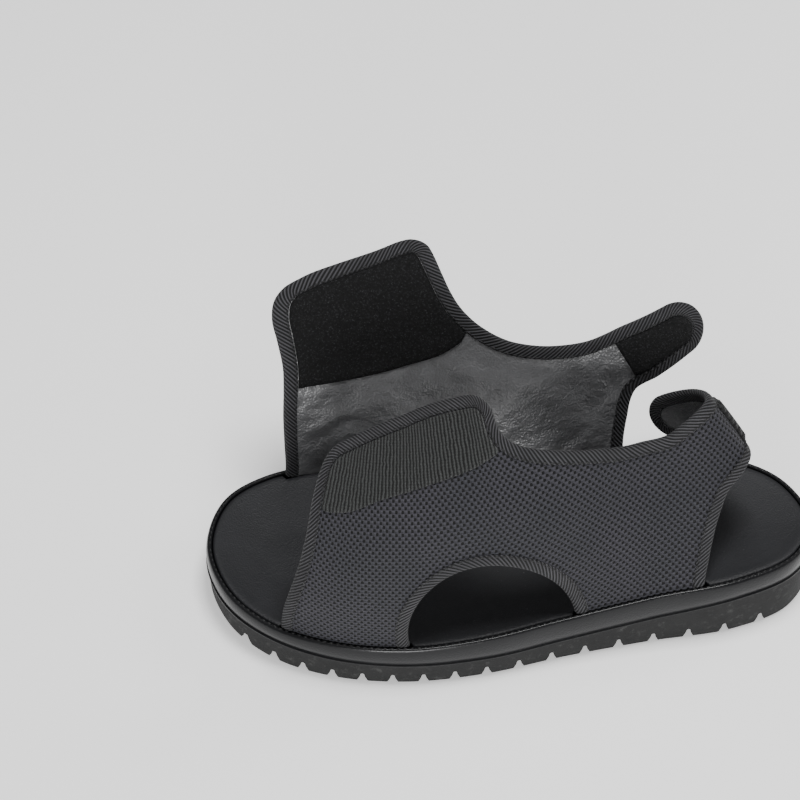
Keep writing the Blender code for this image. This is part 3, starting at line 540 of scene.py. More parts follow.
LATERAL_REAR = [
    Spot(0.345, 0.289),
    Spot(0.333, 0.220),
    Spot(0.325, 0.154),
    Spot(0.319, 0.095),
    Spot(0.313, 0.037),
    Spot(0.310, 0.0),
]
MEDIAL_FRONT = [
    Spot(-0.367, 0.0),
    Spot(-0.366, 0.066),
    Spot(-0.366, 0.165),
    Spot(-0.3635, 0.296),
    Spot(-0.357, 0.428),
    Spot(-0.354, 0.510),
    Spot(-0.3565, 0.626),
    Spot(-0.3585, 0.708),
    Spot(-0.3525, 0.780),
    Spot(-0.338, 0.826),
    Spot(-0.316, 0.854),
    Spot(-0.274, 0.896),
    Spot(-0.218, 0.949),
    Spot(-0.176, 0.990),
    Spot(-0.1635, 0.997),
    Spot(-0.1505, 0.992),
    Spot(-0.139, 0.976),
    Spot(-0.1315, 0.951),
    Spot(-0.1145, 0.869),
    Spot(-0.098, 0.794),
    Spot(-0.079, 0.731),
    Spot(-0.046, 0.663),
    Spot(-0.005, 0.609),
    Spot(0.044, 0.580),
    Spot(0.091, 0.570),
    Spot(0.140, 0.578),
]
MEDIAL_ROOT = Spot(0.221, 0.5185)
MEDIAL_REAR = [
    Spot(0.219, 0.352),
    Spot(0.210, 0.304),
    Spot(0.205, 0.222),
    Spot(0.201, 0.140),
    Spot(0.200, 0.070),
    Spot(0.200, 0.0),
]
MEDIAL_ARCH = [
    Spot(0.0877, 0.0),
    Spot(0.085, 0.0165),
    Spot(0.072, 0.0325),
    Spot(0.042, 0.048),
    Spot(0.007, 0.073),
    Spot(-0.032, 0.116),
    Spot(-0.067, 0.165),
    Spot(-0.098, 0.198),
    Spot(-0.123, 0.190),
    Spot(-0.140, 0.141),
    Spot(-0.1495, 0.070),
    Spot(-0.1516, 0.0),
]
Lean = namedtuple("Lean", "up front rear")
LATERAL_LEAN = [
    Lean(0.00, -2.0, 28.0),
    Lean(0.16, 4.0, 28.0),
    Lean(0.41, 22.0, 28.0),
    Lean(0.65, 42.0, 28.0),
    Lean(1.00, 58.0, 28.0),
]
MEDIAL_LEAN = [
    Lean(0.00, 2.0, -16.0),
    Lean(0.12, -4.0, -16.0),
    Lean(0.41, -22.0, -16.0),
    Lean(0.74, -32.0, -16.0),
    Lean(1.00, -36.0, -16.0),
]
Curl = namedtuple("Curl", "along turn")
LATERAL_CURL = [
    Curl(0.00, 0.0),
    Curl(0.15, 2.0),
    Curl(0.30, 18.0),
    Curl(0.45, 84.0),
    Curl(0.60, 111.0),
    Curl(0.80, 130.0),
    Curl(1.00, 143.0),
]
MEDIAL_CURL = [
    Curl(0.00, 0.0),
    Curl(1.00, -26.0),
]
# Soft creases: a place in the pattern in metres, the way it runs in degrees, its length and
# width, and how far the wall stands out there.
Crease = namedtuple("Crease", "along up way length width height")
LATERAL_CREASES = [
    Crease(-0.030, 0.064, 12.0, 0.070, 0.0090, 0.0007),
    Crease(0.045, 0.050, 24.0, 0.060, 0.0080, -0.0007),
    Crease(-0.072, 0.040, 70.0, 0.050, 0.0080, 0.0006),
    Crease(0.062, 0.036, 60.0, 0.036, 0.0070, 0.0005),
]
MEDIAL_CREASES = [
    Crease(-0.060, 0.052, 6.0, 0.060, 0.0070, -0.0012),
    Crease(-0.074, 0.036, 24.0, 0.036, 0.0050, -0.0010),
    Crease(-0.082, 0.026, 34.0, 0.026, 0.0036, 0.0008),
    Crease(-0.040, 0.060, -14.0, 0.034, 0.0040, 0.0007),
    Crease(-0.012, 0.056, -30.0, 0.030, 0.0050, -0.0007),
    Crease(0.026, 0.056, 10.0, 0.034, 0.0060, -0.0008),
    Crease(0.046, 0.040, 62.0, 0.028, 0.0050, 0.0007),
]


class Quarter:
    """One side of the upper, bent from its flat pattern over the last."""

    def __init__(self, side, height, front, rear, lean, root, strap, curl, creases):
        self.side = side
        self.height = height
        self.root = np.array([root.along * LENGTH, root.up * height])
        self.along = np.array([cos(STRAP_RISE), sin(STRAP_RISE)])
        self.across = np.array([-sin(STRAP_RISE), cos(STRAP_RISE)])
        self.lean = np.array([(row.up * height, radians(row.front), radians(row.rear))
                              for row in lean])
        self.rear_foot = rear[-1].along * LENGTH
        self.creases = creases
        foot = fine_outline - fine_outward * (LIP_WIDTH + GAP + WALL / 2)
        toe, heel = int(np.argmin(foot[:, 0])), int(np.argmax(foot[:, 0]))
        count = len(foot)
        steps = (heel - toe) % count if side > 0 else (toe - heel) % count
        self.foot = foot[[(toe + side * k) % count for k in range(steps + 1)]]
        runs = distances(self.foot)
        self.runs = runs - np.interp(0.0, self.foot[:, 0], runs)
        self.front, self.rear, self.strap = front, rear, strap
        self.bend_strap(strap.reach, curl)

    def panel(self, along, up):
        """Bends pattern points of the panel over the last."""
        at = np.minimum(along, self.rear_foot)
        tiny = 0.002
        foot, ahead, behind = (read_along(spot, self.runs, self.foot)
                               for spot in (at, at + tiny, at - tiny))
        run = ahead - behind
        run /= np.linalg.norm(run, axis=1)[:, None]
        inward = np.column_stack([run[:, 1], -run[:, 0]]) * self.side
        share = np.clip(along / self.rear_foot, 0.0, 1.0)
        share = (share * share * (3 - 2 * share))[:, None]
        climbed = np.maximum(up, 0.0)
        ups = (np.arange(20) + 0.5) / 20 * climbed[:, None]
        lean = (np.interp(ups, self.lean[:, 0], self.lean[:, 1]) * (1 - share)
                + np.interp(ups, self.lean[:, 0], self.lean[:, 2]) * share)
        inwards = np.mean(np.sin(lean), axis=1) * climbed
        upwards = np.mean(np.cos(lean), axis=1) * climbed + np.minimum(up, 0.0)
        past = np.maximum(0.0, along - self.rear_foot)
        flat = foot + inward * inwards[:, None] + run * past[:, None]
        return np.column_stack([flat, rim(foot[:, 0]) + upwards])

    def bend_strap(self, reach, curl):
        """Works out how far the curled strap has moved at each distance from its root."""
        tiny = 0.0005
        spots = np.array([self.root, self.root + self.along * tiny,
                          self.root + self.across * tiny])
        middle, ahead, above = self.panel(spots[:, 0], spots[:, 1])
        run = (ahead - middle) / np.linalg.norm(ahead - middle)
        inward = np.cross(run, above - middle) * self.side
        inward /= np.linalg.norm(inward)
        fine = smooth([(row.along, row.turn) for row in curl])
        self.bend_runs = np.linspace(0.0, reach, BEND_STEPS + 1)
        self.turns = np.radians(np.interp(self.bend_runs / reach, fine[:, 0], fine[:, 1]))
        middles = (self.turns[1:] + self.turns[:-1]) / 2
        ways = np.outer(np.cos(middles), run) + np.outer(np.sin(middles), inward)
        self.moves = np.vstack([np.zeros(3), np.cumsum(ways * reach / BEND_STEPS, axis=0)])

    def middle(self, along, up):
        """Gives the points in space of pattern points, on the middle surface."""
        run = (np.column_stack([along, up]) - self.root) @ self.along
        past = np.maximum(run, 0.0)
        moved = read_along(past, self.bend_runs, self.moves)
        return self.panel(along - self.along[0] * past, up - self.along[1] * past) + moved

    def crease(self, along, up):
        """Gives how far the soft creases push the wall outwards at pattern points."""
        total = np.zeros(len(along))
        for row in self.creases:
            way = radians(row.way)
            dx, dy = along - row.along, up - row.up
            lengthwise = (dx * cos(way) + dy * sin(way)) / (row.length / 2)
            sideways = (-dx * sin(way) + dy * cos(way)) / row.width
            total += row.height * np.exp(-lengthwise ** 4 - sideways ** 2)
        return total

    def place(self, along, up, out):
        """Gives the points at heights out from the middle surface, away from the foot."""
        along, up, out = (np.array(value, float) * np.ones(np.shape(along))
                          for value in (along, up, out))
        tiny = 0.0006
        point = self.middle(along, up)
        run = self.middle(along + tiny, up) - self.middle(along - tiny, up)
        rise = self.middle(along, up + tiny) - self.middle(along, up - tiny)
        normal = np.cross(run, rise) * -self.side
        normal[up < SEAM_RISE * 2, 2] = 0.0
        normal /= np.linalg.norm(normal, axis=1)[:, None]
        return point + normal * (out + self.crease(along, up))[:, None] + (*SOLE_AXIS, 0.0)


def strap_outline(quarter):
    """Draws the edge of a heel strap from its top at the root, round its tip and back."""
    strap = quarter.strap
    radius = strap.tip / 2
    centre = strap.reach - radius
    shares = np.linspace(0.0, 1.0, 9)[:, None]
    top = strap.top + (np.array([centre, radius]) - strap.top) * shares
    foot = strap.foot + (np.array([centre, radius]) - strap.foot) * shares[::-1]
    tip = [(centre + radius * sin(angle), radius * cos(angle))
           for angle in np.linspace(0.0, pi, 13)[1:-1]]
    path = np.vstack([top, tip, foot * (1.0, -1.0)])
    return (quarter.root + np.outer(path[:, 0], quarter.along)
            + np.outer(path[:, 1], quarter.across))


def resample(path):
    """Thins a fine polyline to points no more than one step and one turn apart."""
    runs = np.diff(path, axis=0)
    costs = np.linalg.norm(runs, axis=1) / EDGE_STEP
    costs[1:] += np.abs(np.diff(np.unwrap(np.arctan2(runs[:, 1], runs[:, 0])))) / EDGE_TURN
    spent = np.concatenate([[0.0], np.cumsum(costs)])
    return read_along(np.linspace(0.0, spent[-1], max(2, ceil(spent[-1])) + 1), spent, path)


def edge_spots(quarter, rows):
    """Reads a table of spots as points of the quarter's pattern."""
    return [(row.along * LENGTH, SEAM_RISE + row.up * (quarter.height - SEAM_RISE))
            for row in rows]


def free_edge(quarter):
    """Draws the free edge of a quarter, from its front foot round to its rear foot."""
    return resample(smooth(np.vstack([edge_spots(quarter, quarter.front), strap_outline(quarter),
                                      edge_spots(quarter, quarter.rear)]), steps=10))


def lateral_arch_edge():
    """Draws the free edge of the lateral cut-out, from its rear foot over its top to its front."""
    angles = np.linspace(pi, 0.0, 91)
    along = ARCH_PLACE - ARCH_WIDTH / 2 * np.cos(angles) - ARCH_SKEW * np.sin(angles)
    return resample(np.column_stack([along, SEAM_RISE + ARCH_HEIGHT * np.sin(angles)]))


def offset_edge(edge, distance):
    """Moves a free edge into the quarter by a distance, level at its two feet."""
    return edge - left_normals(edge, upright_ends=True) * distance


def inside(polygon, points):
    """Tells which points lie inside a polygon."""
    x, y = points[:, 0][:, None], points[:, 1][:, None]
    x0, y0 = polygon[:, 0], polygon[:, 1]
    x1, y1 = np.roll(x0, -1), np.roll(y0, -1)
    crosses = (y0 > y) != (y1 > y)
    rise = np.where(y1 == y0, 1.0, y1 - y0)
    return np.count_nonzero(crosses & (x < x0 + (y - y0) * (x1 - x0) / rise), axis=1) % 2 == 1


def bend_layer(work, quarter, low, high):
    """Thickens a flat sheet of pattern points and bends it onto a quarter.

    low is the height of its one face, and high works out that of the other at pattern points.
    """
    layer = pattern_layer(work)
    made = bmesh.ops.extrude_face_region(work, geom=work.faces[:], use_keep_orig=True)["geom"]
    raised = {item for item in made if isinstance(item, bmesh.types.BMVert)}
    verts = work.verts[:]
    flat = np.array([vert.co[:2] for vert in verts])
    outs = np.array([top if vert in raised else low for vert, top in zip(verts, high(flat))])
    points = quarter.place(flat[:, 0], flat[:, 1], outs)
    for vert, point, (along, up) in zip(verts, points, flat):
        vert.co = point
        vert[layer] = (along, up, 0.0)


def wall_sheet(name, quarter, edge, arch, low, high, material):
    """Makes one layer of a quarter: a grid over its pattern, trimmed under the binding, and bent.

    The trimmed border lies inside the fold of the binding tapes.
    """
    trim, arch_trim = offset_edge(edge, UNDER_TAPE), offset_edge(arch, UNDER_TAPE)
    outline = np.vstack([trim, [(trim[-1][0], -1.0)], [(trim[0][0], -1.0)]])
    hole = np.vstack([arch_trim, [(arch_trim[-1][0], -1.0)], [(arch_trim[0][0], -1.0)]])
    lowest, highest = trim.min(axis=0), trim.max(axis=0)
    columns = int((highest[0] - lowest[0]) / WALL_CELL)
    rows = int((highest[1] + WALL_TUCK) / WALL_CELL)
    work = bmesh.new()
    bmesh.ops.create_grid(work, x_segments=columns, y_segments=rows, size=0.5)
    bmesh.ops.scale(work, verts=work.verts[:], vec=(
        highest[0] - lowest[0], highest[1] + WALL_TUCK, 1.0))
    bmesh.ops.translate(work, verts=work.verts[:], vec=(
        (highest[0] + lowest[0]) / 2, (highest[1] - WALL_TUCK) / 2, 0.0))
    middles = np.array([face.calc_center_median()[:2] for face in work.faces])
    wanted = inside(outline, middles) & ~inside(hole, middles)
    bmesh.ops.delete(work, geom=[face for face, keep in zip(work.faces[:], wanted) if not keep],
                     context="FACES")
    bend_layer(work, quarter, low, lambda flat: np.full(len(flat), high))
    return settle(name, work, material)


def upper_mesh():
    """Open sandwich mesh: staggered raised stitches with painted highlight on their tops, over
    holes painted near-black as painted shade, with a slight sheen.
    """
    weave = Finish("upper mesh", specular_ior_level=0.2, sheen_weight=0.06, sheen_roughness=0.4)
    waver = weave.noise(0.02, 2.0)
    along = weave.pattern("X") + waver * 0.0012
    up = weave.pattern("Y") + waver * 0.0008
    yarn = weave.noise(0.0005, 3.0, 0.7)
    across = along * (2 * pi / 0.0031)
    rows = up * (2 * pi / 0.0034)
    holes = across.math("COSINE", across) * rows.math("COSINE", rows)
    solid = 1.0 - weave.between(holes + yarn * 0.3, 0.2, 0.6)
    bulge = weave.wave(along, 0.00155) * 0.4 + weave.wave(up, 0.0017) * 0.6
    tone = weave.noise(0.03, 2.0)
    lit = weave.mix(tone, (0.033, 0.036, 0.042), (0.06, 0.056, 0.069))
    # Painted light: the yarn colour runs from near-black in the valleys, as painted shade, to the
    # lit colour on the bulging tops, as painted highlight.
    painted_yarn_shading = weave.mix(bulge * 0.5 + yarn * 0.7, (0.006, 0.006, 0.0075), lit)
    # The holes are painted near-black as painted shade.
    weave.feed("Base Color", weave.mix(solid, (0.0015, 0.0015, 0.002), painted_yarn_shading))
    weave.feed("Roughness", 0.66 - bulge * 0.12 + yarn * 0.1)
    weave.bump(solid + bulge * 0.25 + yarn * 0.25, 0.0007)
    return weave.material


def lining_leather():
    """Satin leather lining: fine grain, soft rumples, painted shade in their hollows and painted
    sheen on their high spots.
    """
    satin = Finish("lining leather", specular_ior_level=1.0, sheen_weight=0.08,
                   sheen_roughness=0.35, coat_roughness=0.32)
    rumple = satin.noise(0.02, 3.0, 0.5)
    folds = satin.noise(0.009, 1.0, 0.4, satin.stretched(0.5, 1.0, 1.0))
    grain = satin.cells(0.0011)
    tiny = satin.noise(0.0006, 2.0)
    # Painted light: the colour runs from dark grey in the hollows of the rumples, as painted
    # shade, to light grey on their high spots, as painted sheen standing in for the gloss of the
    # satin.
    satin.feed("Base Color", satin.mix(rumple, (0.04, 0.0403, 0.042), (0.15, 0.151, 0.155)))
    satin.feed("Roughness", 0.24 + grain * 0.12 + tiny * 0.06)
    satin.feed("Coat Weight", satin.between(rumple, 0.35, 0.7) * 0.5)
    satin.bump(rumple * 2.4 + folds * 0.35 + grain * 0.14 + tiny * 0.05, 0.0017)
    return satin.material


mesh_cloth = upper_mesh()
lining = lining_leather()
lateral = Quarter(-1, LATERAL_HEIGHT, LATERAL_FRONT, LATERAL_REAR, LATERAL_LEAN, LATERAL_ROOT,
                  LATERAL_STRAP, LATERAL_CURL, LATERAL_CREASES)
medial = Quarter(1, FLAP_HEIGHT, MEDIAL_FRONT, MEDIAL_REAR, MEDIAL_LEAN, MEDIAL_ROOT,
                 MEDIAL_STRAP, MEDIAL_CURL, MEDIAL_CREASES)
lateral_edge, medial_edge = free_edge(lateral), free_edge(medial)
lateral_arch = lateral_arch_edge()
medial_arch = resample(smooth(edge_spots(medial, MEDIAL_ARCH)))
sides = (("lateral", lateral, lateral_edge, lateral_arch),
         ("medial", medial, medial_edge, medial_arch))
for side_name, quarter, edge, arch in sides:
    outer = wall_sheet("mesh_" + side_name, quarter, edge, arch,
                       LAYER_SPLIT, WALL / 2, mesh_cloth)
    inner = wall_sheet("lining_" + side_name, quarter, edge, arch,
                       -WALL / 2, -LAYER_SPLIT, lining)
    for layer_piece in (outer, inner):
        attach(layer_piece, "root")
        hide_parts("quarter_" + side_name)


# Binding tapes: black twill, folded over every free edge of the quarters.
# A single row of stitches holds both legs of the fold, close to their inner edge.
TAPE_FACE = 0.00192
TAPE_SLOT = 0.00122
STITCH_DEPTH = 0.0053
STITCH_PITCH = 0.0034
STITCH_LENGTH = 0.0027
STITCH_WIDTH = 0.0009
STITCH_SHARP = radians(80.0)


def twill():
    """Woven tape: fine slanting ribs with a thread look, dull, with painted highlight on the rib
    tops and painted shade between them.
    """
    tape = Finish("binding twill", specular_ior_level=0.3, sheen_weight=0.06, sheen_roughness=0.4)
    along, around = tape.pattern("X"), tape.pattern("Y")
    fuzz = tape.noise(0.0005, 3.0, 0.7)
    ribs = tape.wave(along + around * 1.1 + fuzz * 0.0003, 0.0021)
    slow = tape.noise(0.018, 2.0)
    lit = tape.mix(slow, (0.026, 0.026, 0.0285), (0.075, 0.0742, 0.081))
    # Painted light: the rib tops are painted lighter as painted highlight, and the grooves between
    # them near-black as painted shade.
    tape.feed("Base Color", tape.mix(tape.between(ribs, 0.25, 0.95), (0.003, 0.003, 0.0034), lit))
    tape.feed("Roughness", 0.66 + fuzz * 0.2)
    tape.bump(ribs + fuzz * 0.5, 0.00045)
    return tape.material


def tape_profile():
    """Draws the cut of the folded tape: depth from the free edge, and height out."""
    face = [(0.0058, TAPE_SLOT), (0.0059, 0.0013), (0.00605, 0.0016), (0.0058, 0.00185),
            (0.0050, TAPE_FACE), (0.0036, 0.00195), (0.0022, TAPE_FACE), (0.0012, 0.00172),
            (0.0005, 0.00128), (0.00012, 0.0007), (0.0, 0.0)]
    mirrored = [(depth, -out) for depth, out in reversed(face[:-1])]
    return face + mirrored + [(0.0010, -TAPE_SLOT), (0.0010, TAPE_SLOT)]


def bind(name, quarter, edge, material):
    """Folds a tape over a free edge."""
    profile = tape_profile()
    runs = distances(edge)
    around = distances(np.array(profile))
    paths = {depth: offset_edge(edge, depth) for depth, _ in profile}
    columns = [quarter.place(paths[depth][:, 0], paths[depth][:, 1], out)
               for depth, out in profile]
    rings = np.stack(columns, axis=1)
    marks = [[(run, turn, 0.0) for turn in around] for run in runs]
    work = bmesh.new()
    skin(work, rings, marks, caps="flat")
    return settle(name, work, material)


def sew(work, points, outward, pitch, length, width):
    """Lays a row of stitches along a line of points, each a small bead lying on the surface."""
    runs = distances(points)
    middles = np.arange(pitch / 2, runs[-1], pitch)
    spots, ahead, behind = (read_along(middles + shift, runs, points)
                            for shift in (0.0, pitch / 4, -pitch / 4))
    up = read_along(middles, runs, outward)
    for spot, front, back, normal in zip(spots, ahead, behind, up):
        run = Vector(front - back).normalized()
        rise = Vector(normal).normalized()
        side = rise.cross(run).normalized()
        turn = Matrix((run * length / 2, side * width / 2, rise * width / 2)).transposed().to_4x4()
        turn.translation = Vector(spot)
        bmesh.ops.create_icosphere(work, subdivisions=1, radius=1.0, matrix=turn)


def thread():
    """Waxed black thread."""
    yarn = Finish("sewing thread", specular_ior_level=0.45)
    twist = yarn.noise(0.0004, 2.0)
    yarn.feed("Base Color", yarn.mix(twist, (0.003, 0.003, 0.0034), (0.012, 0.012, 0.013)))
    yarn.feed("Roughness", 0.5 + twist * 0.2)
    return yarn.material


tape_cloth = twill()
black_thread = thread()
for side_name, quarter, edge, arch in sides:
    for part_name, line in (("edge", edge), ("arch", arch)):
        tape = bind("binding_" + side_name + "_" + part_name, quarter, line, tape_cloth)
        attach(tape, "root")
        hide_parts("tape_" + side_name + "_" + part_name)
        work = bmesh.new()
        row = offset_edge(line, STITCH_DEPTH)
        for out in (-TAPE_FACE, TAPE_FACE):
            seam = quarter.place(row[:, 0], row[:, 1], out)
            lifted = quarter.place(row[:, 0], row[:, 1], out * 2)
            sew(work, seam, lifted - seam, STITCH_PITCH, STITCH_LENGTH, STITCH_WIDTH)
        seam_piece = settle("stitches_" + side_name + "_" + part_name, work, black_thread,
                            STITCH_SHARP)
        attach(seam_piece, "root")


# Closing patches: two large ones in front and two small ones at the heel straps.
# Loop pile is ribbed and faces outwards, hook pile is rough and faces the foot.
SEAT = WALL / 2 + 0.00005
PATCH = 0.0016
HEEL_LOOP_PATCH = 0.0024
PATCH_MARGIN = 0.0003
PATCH_CELL = 0.0024
PATCH_INSET = 0.0006
PATCH_ROUNDING = 0.0009
PATCH_SHARP = radians(60.0)
CORNER_CLEAR = 0.001
HEEL_LOOP_START = 0.037
HEEL_HOOK_START = -0.008
LATERAL_PATCH_FOOT = [
    Spot(-0.351, 0.604),
    Spot(-0.326, 0.584),
    Spot(-0.282, 0.598),
    Spot(-0.228, 0.648),
    Spot(-0.153, 0.691),
    Spot(-0.062, 0.729),
    Spot(-0.021, 0.755),
    Spot(0.030, 0.800),
]
MEDIAL_PATCH_FOOT = [
    Spot(-0.351, 0.420),
    Spot(-0.324, 0.424),
    Spot(-0.265, 0.439),
    Spot(-0.160, 0.504),
    Spot(-0.108, 0.552),
    Spot(-0.081, 0.595),
    Spot(-0.040, 0.680),
]


def loop_pile(name, lit):
    """Ribbed loop fabric: close upright ribs broken into small loops, painted shade between the
    ribs and painted highlight on their tops.
    """
    pile = Finish(name, specular_ior_level=0.25, sheen_weight=0.12, sheen_roughness=0.5)
    fuzz = pile.noise(0.0005, 3.0, 0.75)
    waver = pile.noise(0.003, 2.0)
    ribs = pile.wave(pile.pattern("X") + fuzz * 0.0009 + waver * 0.0012, 0.0019)
    loops = pile.wave(pile.pattern("Y") + fuzz * 0.0005, 0.0013)
    height = ribs * 0.8 + ribs * loops * 0.2
    # Painted light: the rib tops take the lit colour as painted highlight, and the grooves between
    # the ribs are near-black as painted shade.
    pile.feed("Base Color", pile.mix(pile.between(height + fuzz * 0.5, 0.4, 1.25),
                                     (0.001, 0.0011, 0.0011), lit))
    pile.feed("Roughness", 0.8 + fuzz * 0.15)
    pile.bump(height + fuzz * 0.6, 0.0007)
    return pile.material


def hook_pile():
    """Hook fabric: a dense field of black hooks, with painted glints on the hooks here and there.
    """
    pile = Finish("hook pile", specular_ior_level=0.3)
    dots = pile.cells(0.0011)
    fuzz = pile.noise(0.0006, 4.0, 0.8)
    # Painted glints: light grey specks near the middles of the cells, standing in for light caught
    # by the hooks.
    painted_glints = pile.between(fuzz, 0.48, 0.66) * pile.between(dots, 0.7, 0.2)
    pile.feed("Base Color", pile.mix(painted_glints, (0.0015, 0.0015, 0.0017), (0.045, 0.046, 0.05)))
    pile.feed("Roughness", 0.75 + fuzz * 0.2)
    pile.bump(fuzz + (1.0 - dots) * 0.6, 0.0009)
    return pile.material


def kept_run(path, wanted):
    """Gives the longest unbroken run of points of a path that a test accepts."""
    best, run = [], []
    for point in path:
        if wanted(point):
            run.append(point)
        else:
            best = max(best, run, key=len)
            run = []
    return np.array(max(best, run, key=len))


def front_outline(quarter, edge, rows):
    """Draws the outline of a front patch: along the binding, and back along its lower edge."""
    margin = offset_edge(edge, TAPE_WIDTH + PATCH_MARGIN)
    foot = smooth([(row.along * LENGTH, row.up * quarter.height) for row in rows], steps=8)
    upper = kept_run(margin, lambda point: point[0] < foot[-1, 0]
                     and point[1] > np.interp(point[0], foot[:, 0], foot[:, 1]))
    lower = foot[(foot[:, 0] > upper[0, 0] + CORNER_CLEAR)
                 & (foot[:, 0] < upper[-1, 0] - CORNER_CLEAR)]
    return np.vstack([upper, lower[::-1]])


def heel_outline(quarter, edge, start):
    """Draws the outline of a heel patch, from a distance past the strap's root to its tip."""
    margin = offset_edge(edge, TAPE_WIDTH + PATCH_MARGIN)
    return kept_run(margin, lambda point: (point - quarter.root) @ quarter.along >= start)


def lay_patch(name, quarter, outline, low, thickness, material):
    """Cuts a patch from a flat outline, rounds its border and bends it onto the quarter."""
    work = bmesh.new()
    ring = bmesh.ops.create_circle(work, segments=len(outline), radius=1.0)["verts"]
    for vert, (along, up) in zip(ring, outline):
        vert.co = (along, up, 0.0)
    bmesh.ops.triangle_fill(work, edges=work.edges[:], use_beauty=True)
    lowest, highest = outline.min(axis=0), outline.max(axis=0)
    for axis, way in enumerate((Vector((1.0, 0.0, 0.0)), Vector((0.0, 1.0, 0.0)))):
        for cut_place in np.arange(lowest[axis] + PATCH_CELL, highest[axis], PATCH_CELL):
            bmesh.ops.bisect_plane(work, geom=work.verts[:] + work.edges[:] + work.faces[:],
                                   plane_co=way * cut_place, plane_no=way)
    bmesh.ops.inset_region(work, faces=work.faces[:], thickness=PATCH_INSET,
                           use_even_offset=False)
    closed = np.vstack([outline, outline[:1]])

    def crowned(flat):
        """Gives the height of the free face, lower towards the border."""
        border = np.full(len(flat), 1.0)
        for start, stop in zip(closed, closed[1:]):
            along = stop - start
            share = np.clip((flat - start) @ along / max(along @ along, 1e-12), 0.0, 1.0)
            apart = np.linalg.norm(flat - start - share[:, None] * along, axis=1)
            border = np.minimum(border, apart)
        crown = thickness * (0.4 + 0.6 * np.sqrt(np.clip(border / PATCH_ROUNDING, 0.0, 1.0)))
        return low + np.sign(low) * crown

    bend_layer(work, quarter, low, crowned)
    return settle(name, work, material, PATCH_SHARP)


loop_cloth = loop_pile("loop pile", (0.042, 0.045, 0.044))
dark_loop_cloth = loop_pile("dark loop pile", (0.016, 0.016, 0.0165))
hook_cloth = hook_pile()
patches = [
    ("front_loop", lateral, front_outline(lateral, lateral_edge, LATERAL_PATCH_FOOT),
     SEAT, PATCH, loop_cloth, "loop"),
    ("front_hook", medial, front_outline(medial, medial_edge, MEDIAL_PATCH_FOOT),
     -SEAT, PATCH, hook_cloth, "hook"),
    ("heel_loop", lateral, heel_outline(lateral, lateral_edge, HEEL_LOOP_START),
     SEAT, HEEL_LOOP_PATCH, dark_loop_cloth, "loop"),
    ("heel_hook", medial, heel_outline(medial, medial_edge, HEEL_HOOK_START),
     -SEAT, PATCH, hook_cloth, "hook"),
]
for patch_name, quarter, outline, low, thickness, cloth, slot_name in patches:
    patch = lay_patch(patch_name + "_pile", quarter, outline, low, thickness, cloth)
    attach(patch, "root")
    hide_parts("patch_" + patch_name)


# Footbed: a foam pad covered in fine-grained leather, set down into the rand and dished
# under the foot. It steps in beside the quarters, whose feet go down into the groove.
FOOTBED_DISH = 0.0022
FOOTBED_CLEAR = 0.0002
FOOTBED_RAMP = 0.0014
FOOTBED_CREST = 0.0004


def footbed_leather():
    """Fine-grained leather, dull with a soft gloss in broad patches, specks of dust."""
    cover = Finish("footbed leather", specular_ior_level=0.35)
    grain = cover.cells(0.0008)
    slow = cover.noise(0.025, 4.0, 0.6)
    dust = cover.between(cover.noise(0.0012, 2.0, 0.6), 0.7, 0.78)
    base = cover.mix(slow, (0.006, 0.0063, 0.0075), (0.012, 0.0124, 0.015))
    cover.feed("Base Color", cover.mix(dust * 0.5, base, (0.09, 0.09, 0.096)))
    cover.feed("Roughness", 0.46 + slow * 0.16)
    cover.bump(grain * 0.5 + slow * 0.8, 0.00025)
    return cover.material


stretches = []
for _, quarter, edge, arch in sides:
    for start, stop in ((edge[0, 0], arch[-1, 0]), (arch[0, 0], edge[-1, 0])):
        ends = []
        for along in (start, stop):
            off = fine_outline - read_along(along, quarter.runs, quarter.foot)
            ends.append(outline_runs[np.argmin(np.linalg.norm(off, axis=1))])
        stretches.append((min(ends) - FOOTBED_CLEAR, max(ends) + FOOTBED_CLEAR))
corners = [run for low, high in stretches
           for run in (low - FOOTBED_RAMP, low, high, high + FOOTBED_RAMP)]
free = [run for run in even_runs
        if min(abs(run - corner) for corner in corners) > FOOTBED_RAMP * 0.7]
bed_runs = np.array(sorted(corners + free))
bed_base = round_sole(fine_outline, bed_runs)
bed_outward = round_sole(fine_outward, bed_runs)
near = np.max([np.minimum((bed_runs - low) / FOOTBED_RAMP + 1,
                          (high - bed_runs) / FOOTBED_RAMP + 1)
               for low, high in stretches], axis=0)
setbacks = LIP_WIDTH + GAP + (WALL + GAP) * np.clip(near, 0.0, 1.0)


def bed_ring(inward, down):
    """Gives a ring of the footbed at a distance in from its edge and a depth below the rim."""
    return sole_ring(setbacks + inward, lambda x: rim(x) - down, bed_base, bed_outward)


def dish(share):
    """Gives a height function of the dished top, at a share of the way in to the axis."""
    sunk = FOOTBED_DISH * min(1.0, share * 1.6) ** 0.8
    return lambda x: rim(x) - FOOTBED_CREST - sunk


work = bmesh.new()
rings = [bed_ring(inward, down) for inward, down in (
    (0.0, RECESS - GAP), (0.0, 0.0016), (0.0002, 0.0009), (0.0007, 0.00045), (0.0014, 0.0003),
    (0.0030, FOOTBED_CREST))]
inner = [towards_axis(rings[-1], share, dish(share)) for share in np.linspace(0.05, 0.95, 12)]
below = inward_rings(rings[0], lambda x: rim(x) - RECESS + GAP)[::-1]
skin(work, below + rings + inner, caps="fill")
onto_axis(work)
footbed = settle("footbed_pad", work, footbed_leather())
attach(footbed, "root")
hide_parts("footbed")


# Rim seam: strong black thread, lying in the groove between the lip of the rand and the
# footbed. Its stitches are shorter than those of the tapes.
RIM_STITCH_PITCH = 0.0031
RIM_STITCH_LENGTH = 0.0022
RIM_STITCH_WIDTH = 0.0008
RIM_SEAM_SETBACK = 0.0022
RIM_SEAM_DEPTH = 0.0001

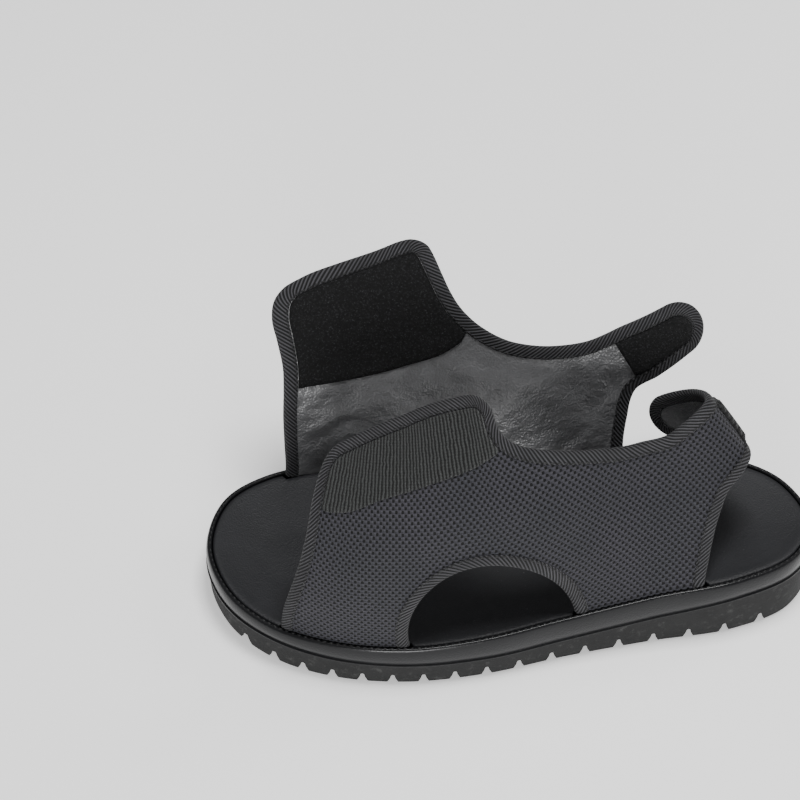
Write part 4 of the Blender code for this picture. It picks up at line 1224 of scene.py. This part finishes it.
work = bmesh.new()
closed_base = np.vstack([ring_base, ring_base[:1]])
closed_outward = np.vstack([ring_outward, ring_outward[:1]])
seam = sole_ring(RIM_SEAM_SETBACK, lambda x: rim(x) - RIM_SEAM_DEPTH,
                 closed_base, closed_outward)
sew(work, seam + (*SOLE_AXIS, 0.0), np.tile((0.0, 0.0, 1.0), (len(seam), 1)),
    RIM_STITCH_PITCH, RIM_STITCH_LENGTH, RIM_STITCH_WIDTH)
rim_seam = settle("stitches_rim", work, black_thread, STITCH_SHARP)
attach(rim_seam, "root")


# Setting: a pale floor, large soft lights and a camera at the angle of the picture.
floor_mesh = bpy.data.meshes.new("floor")
work = bmesh.new()
bmesh.ops.create_grid(work, x_segments=1, y_segments=1, size=6.0)
bmesh.ops.translate(work, verts=work.verts[:], vec=(0.0, 0.0, -0.0002))
work.to_mesh(floor_mesh)
work.free()
pale = Finish("pale floor", roughness=0.9, specular_ior_level=0.1,
              base_color=(0.92, 0.92, 0.92, 1.0), emission_color=(1.0, 1.0, 1.0, 1.0),
              emission_strength=0.45)
floor_mesh.materials.append(pale.material)
floor = add_object("floor", floor_mesh)

world = bpy.data.worlds.new("studio")
world.use_nodes = True
backdrop = world.node_tree.nodes["Background"]
backdrop.inputs["Color"].default_value = (1.0, 1.0, 1.0, 1.0)
backdrop.inputs["Strength"].default_value = 0.3
bpy.context.scene.world = world


def aimed(name, data, place, target):
    """Adds a light or a camera at a place, looking at a point."""
    made = add_object(name, data)
    made.location = place
    made.rotation_euler = (Vector(target) - Vector(place)).to_track_quat("-Z", "Y").to_euler()
    return made


def soft_light(name, place, target, size, power):
    """Hangs a large square light that looks at a point."""
    lamp = bpy.data.lights.new(name, "AREA")
    lamp.size = size
    lamp.energy = power
    aimed(name, lamp, place, target)


soft_light("top_softbox", (0.1, 0.0, 1.3), (0.0, 0.0, 0.05), 0.4, 15.0)
soft_light("front_softbox", (-0.1, -1.5, 0.32), (0.0, 0.0, 0.06), 0.5, 17.0)
soft_light("side_softbox", (1.2, 0.5, 0.9), (0.0, 0.0, 0.05), 0.6, 5.0)

lens = bpy.data.cameras.new("camera")
lens.lens = 134.5
lens.sensor_width = 36.0
eye = (-0.0972, -0.9027 + SOLE_AXIS[1], 1.0970)
aim = (-0.0455, 0.1190 + SOLE_AXIS[1], 0.0)
camera = aimed("camera", lens, eye, aim)
bpy.context.scene.camera = camera
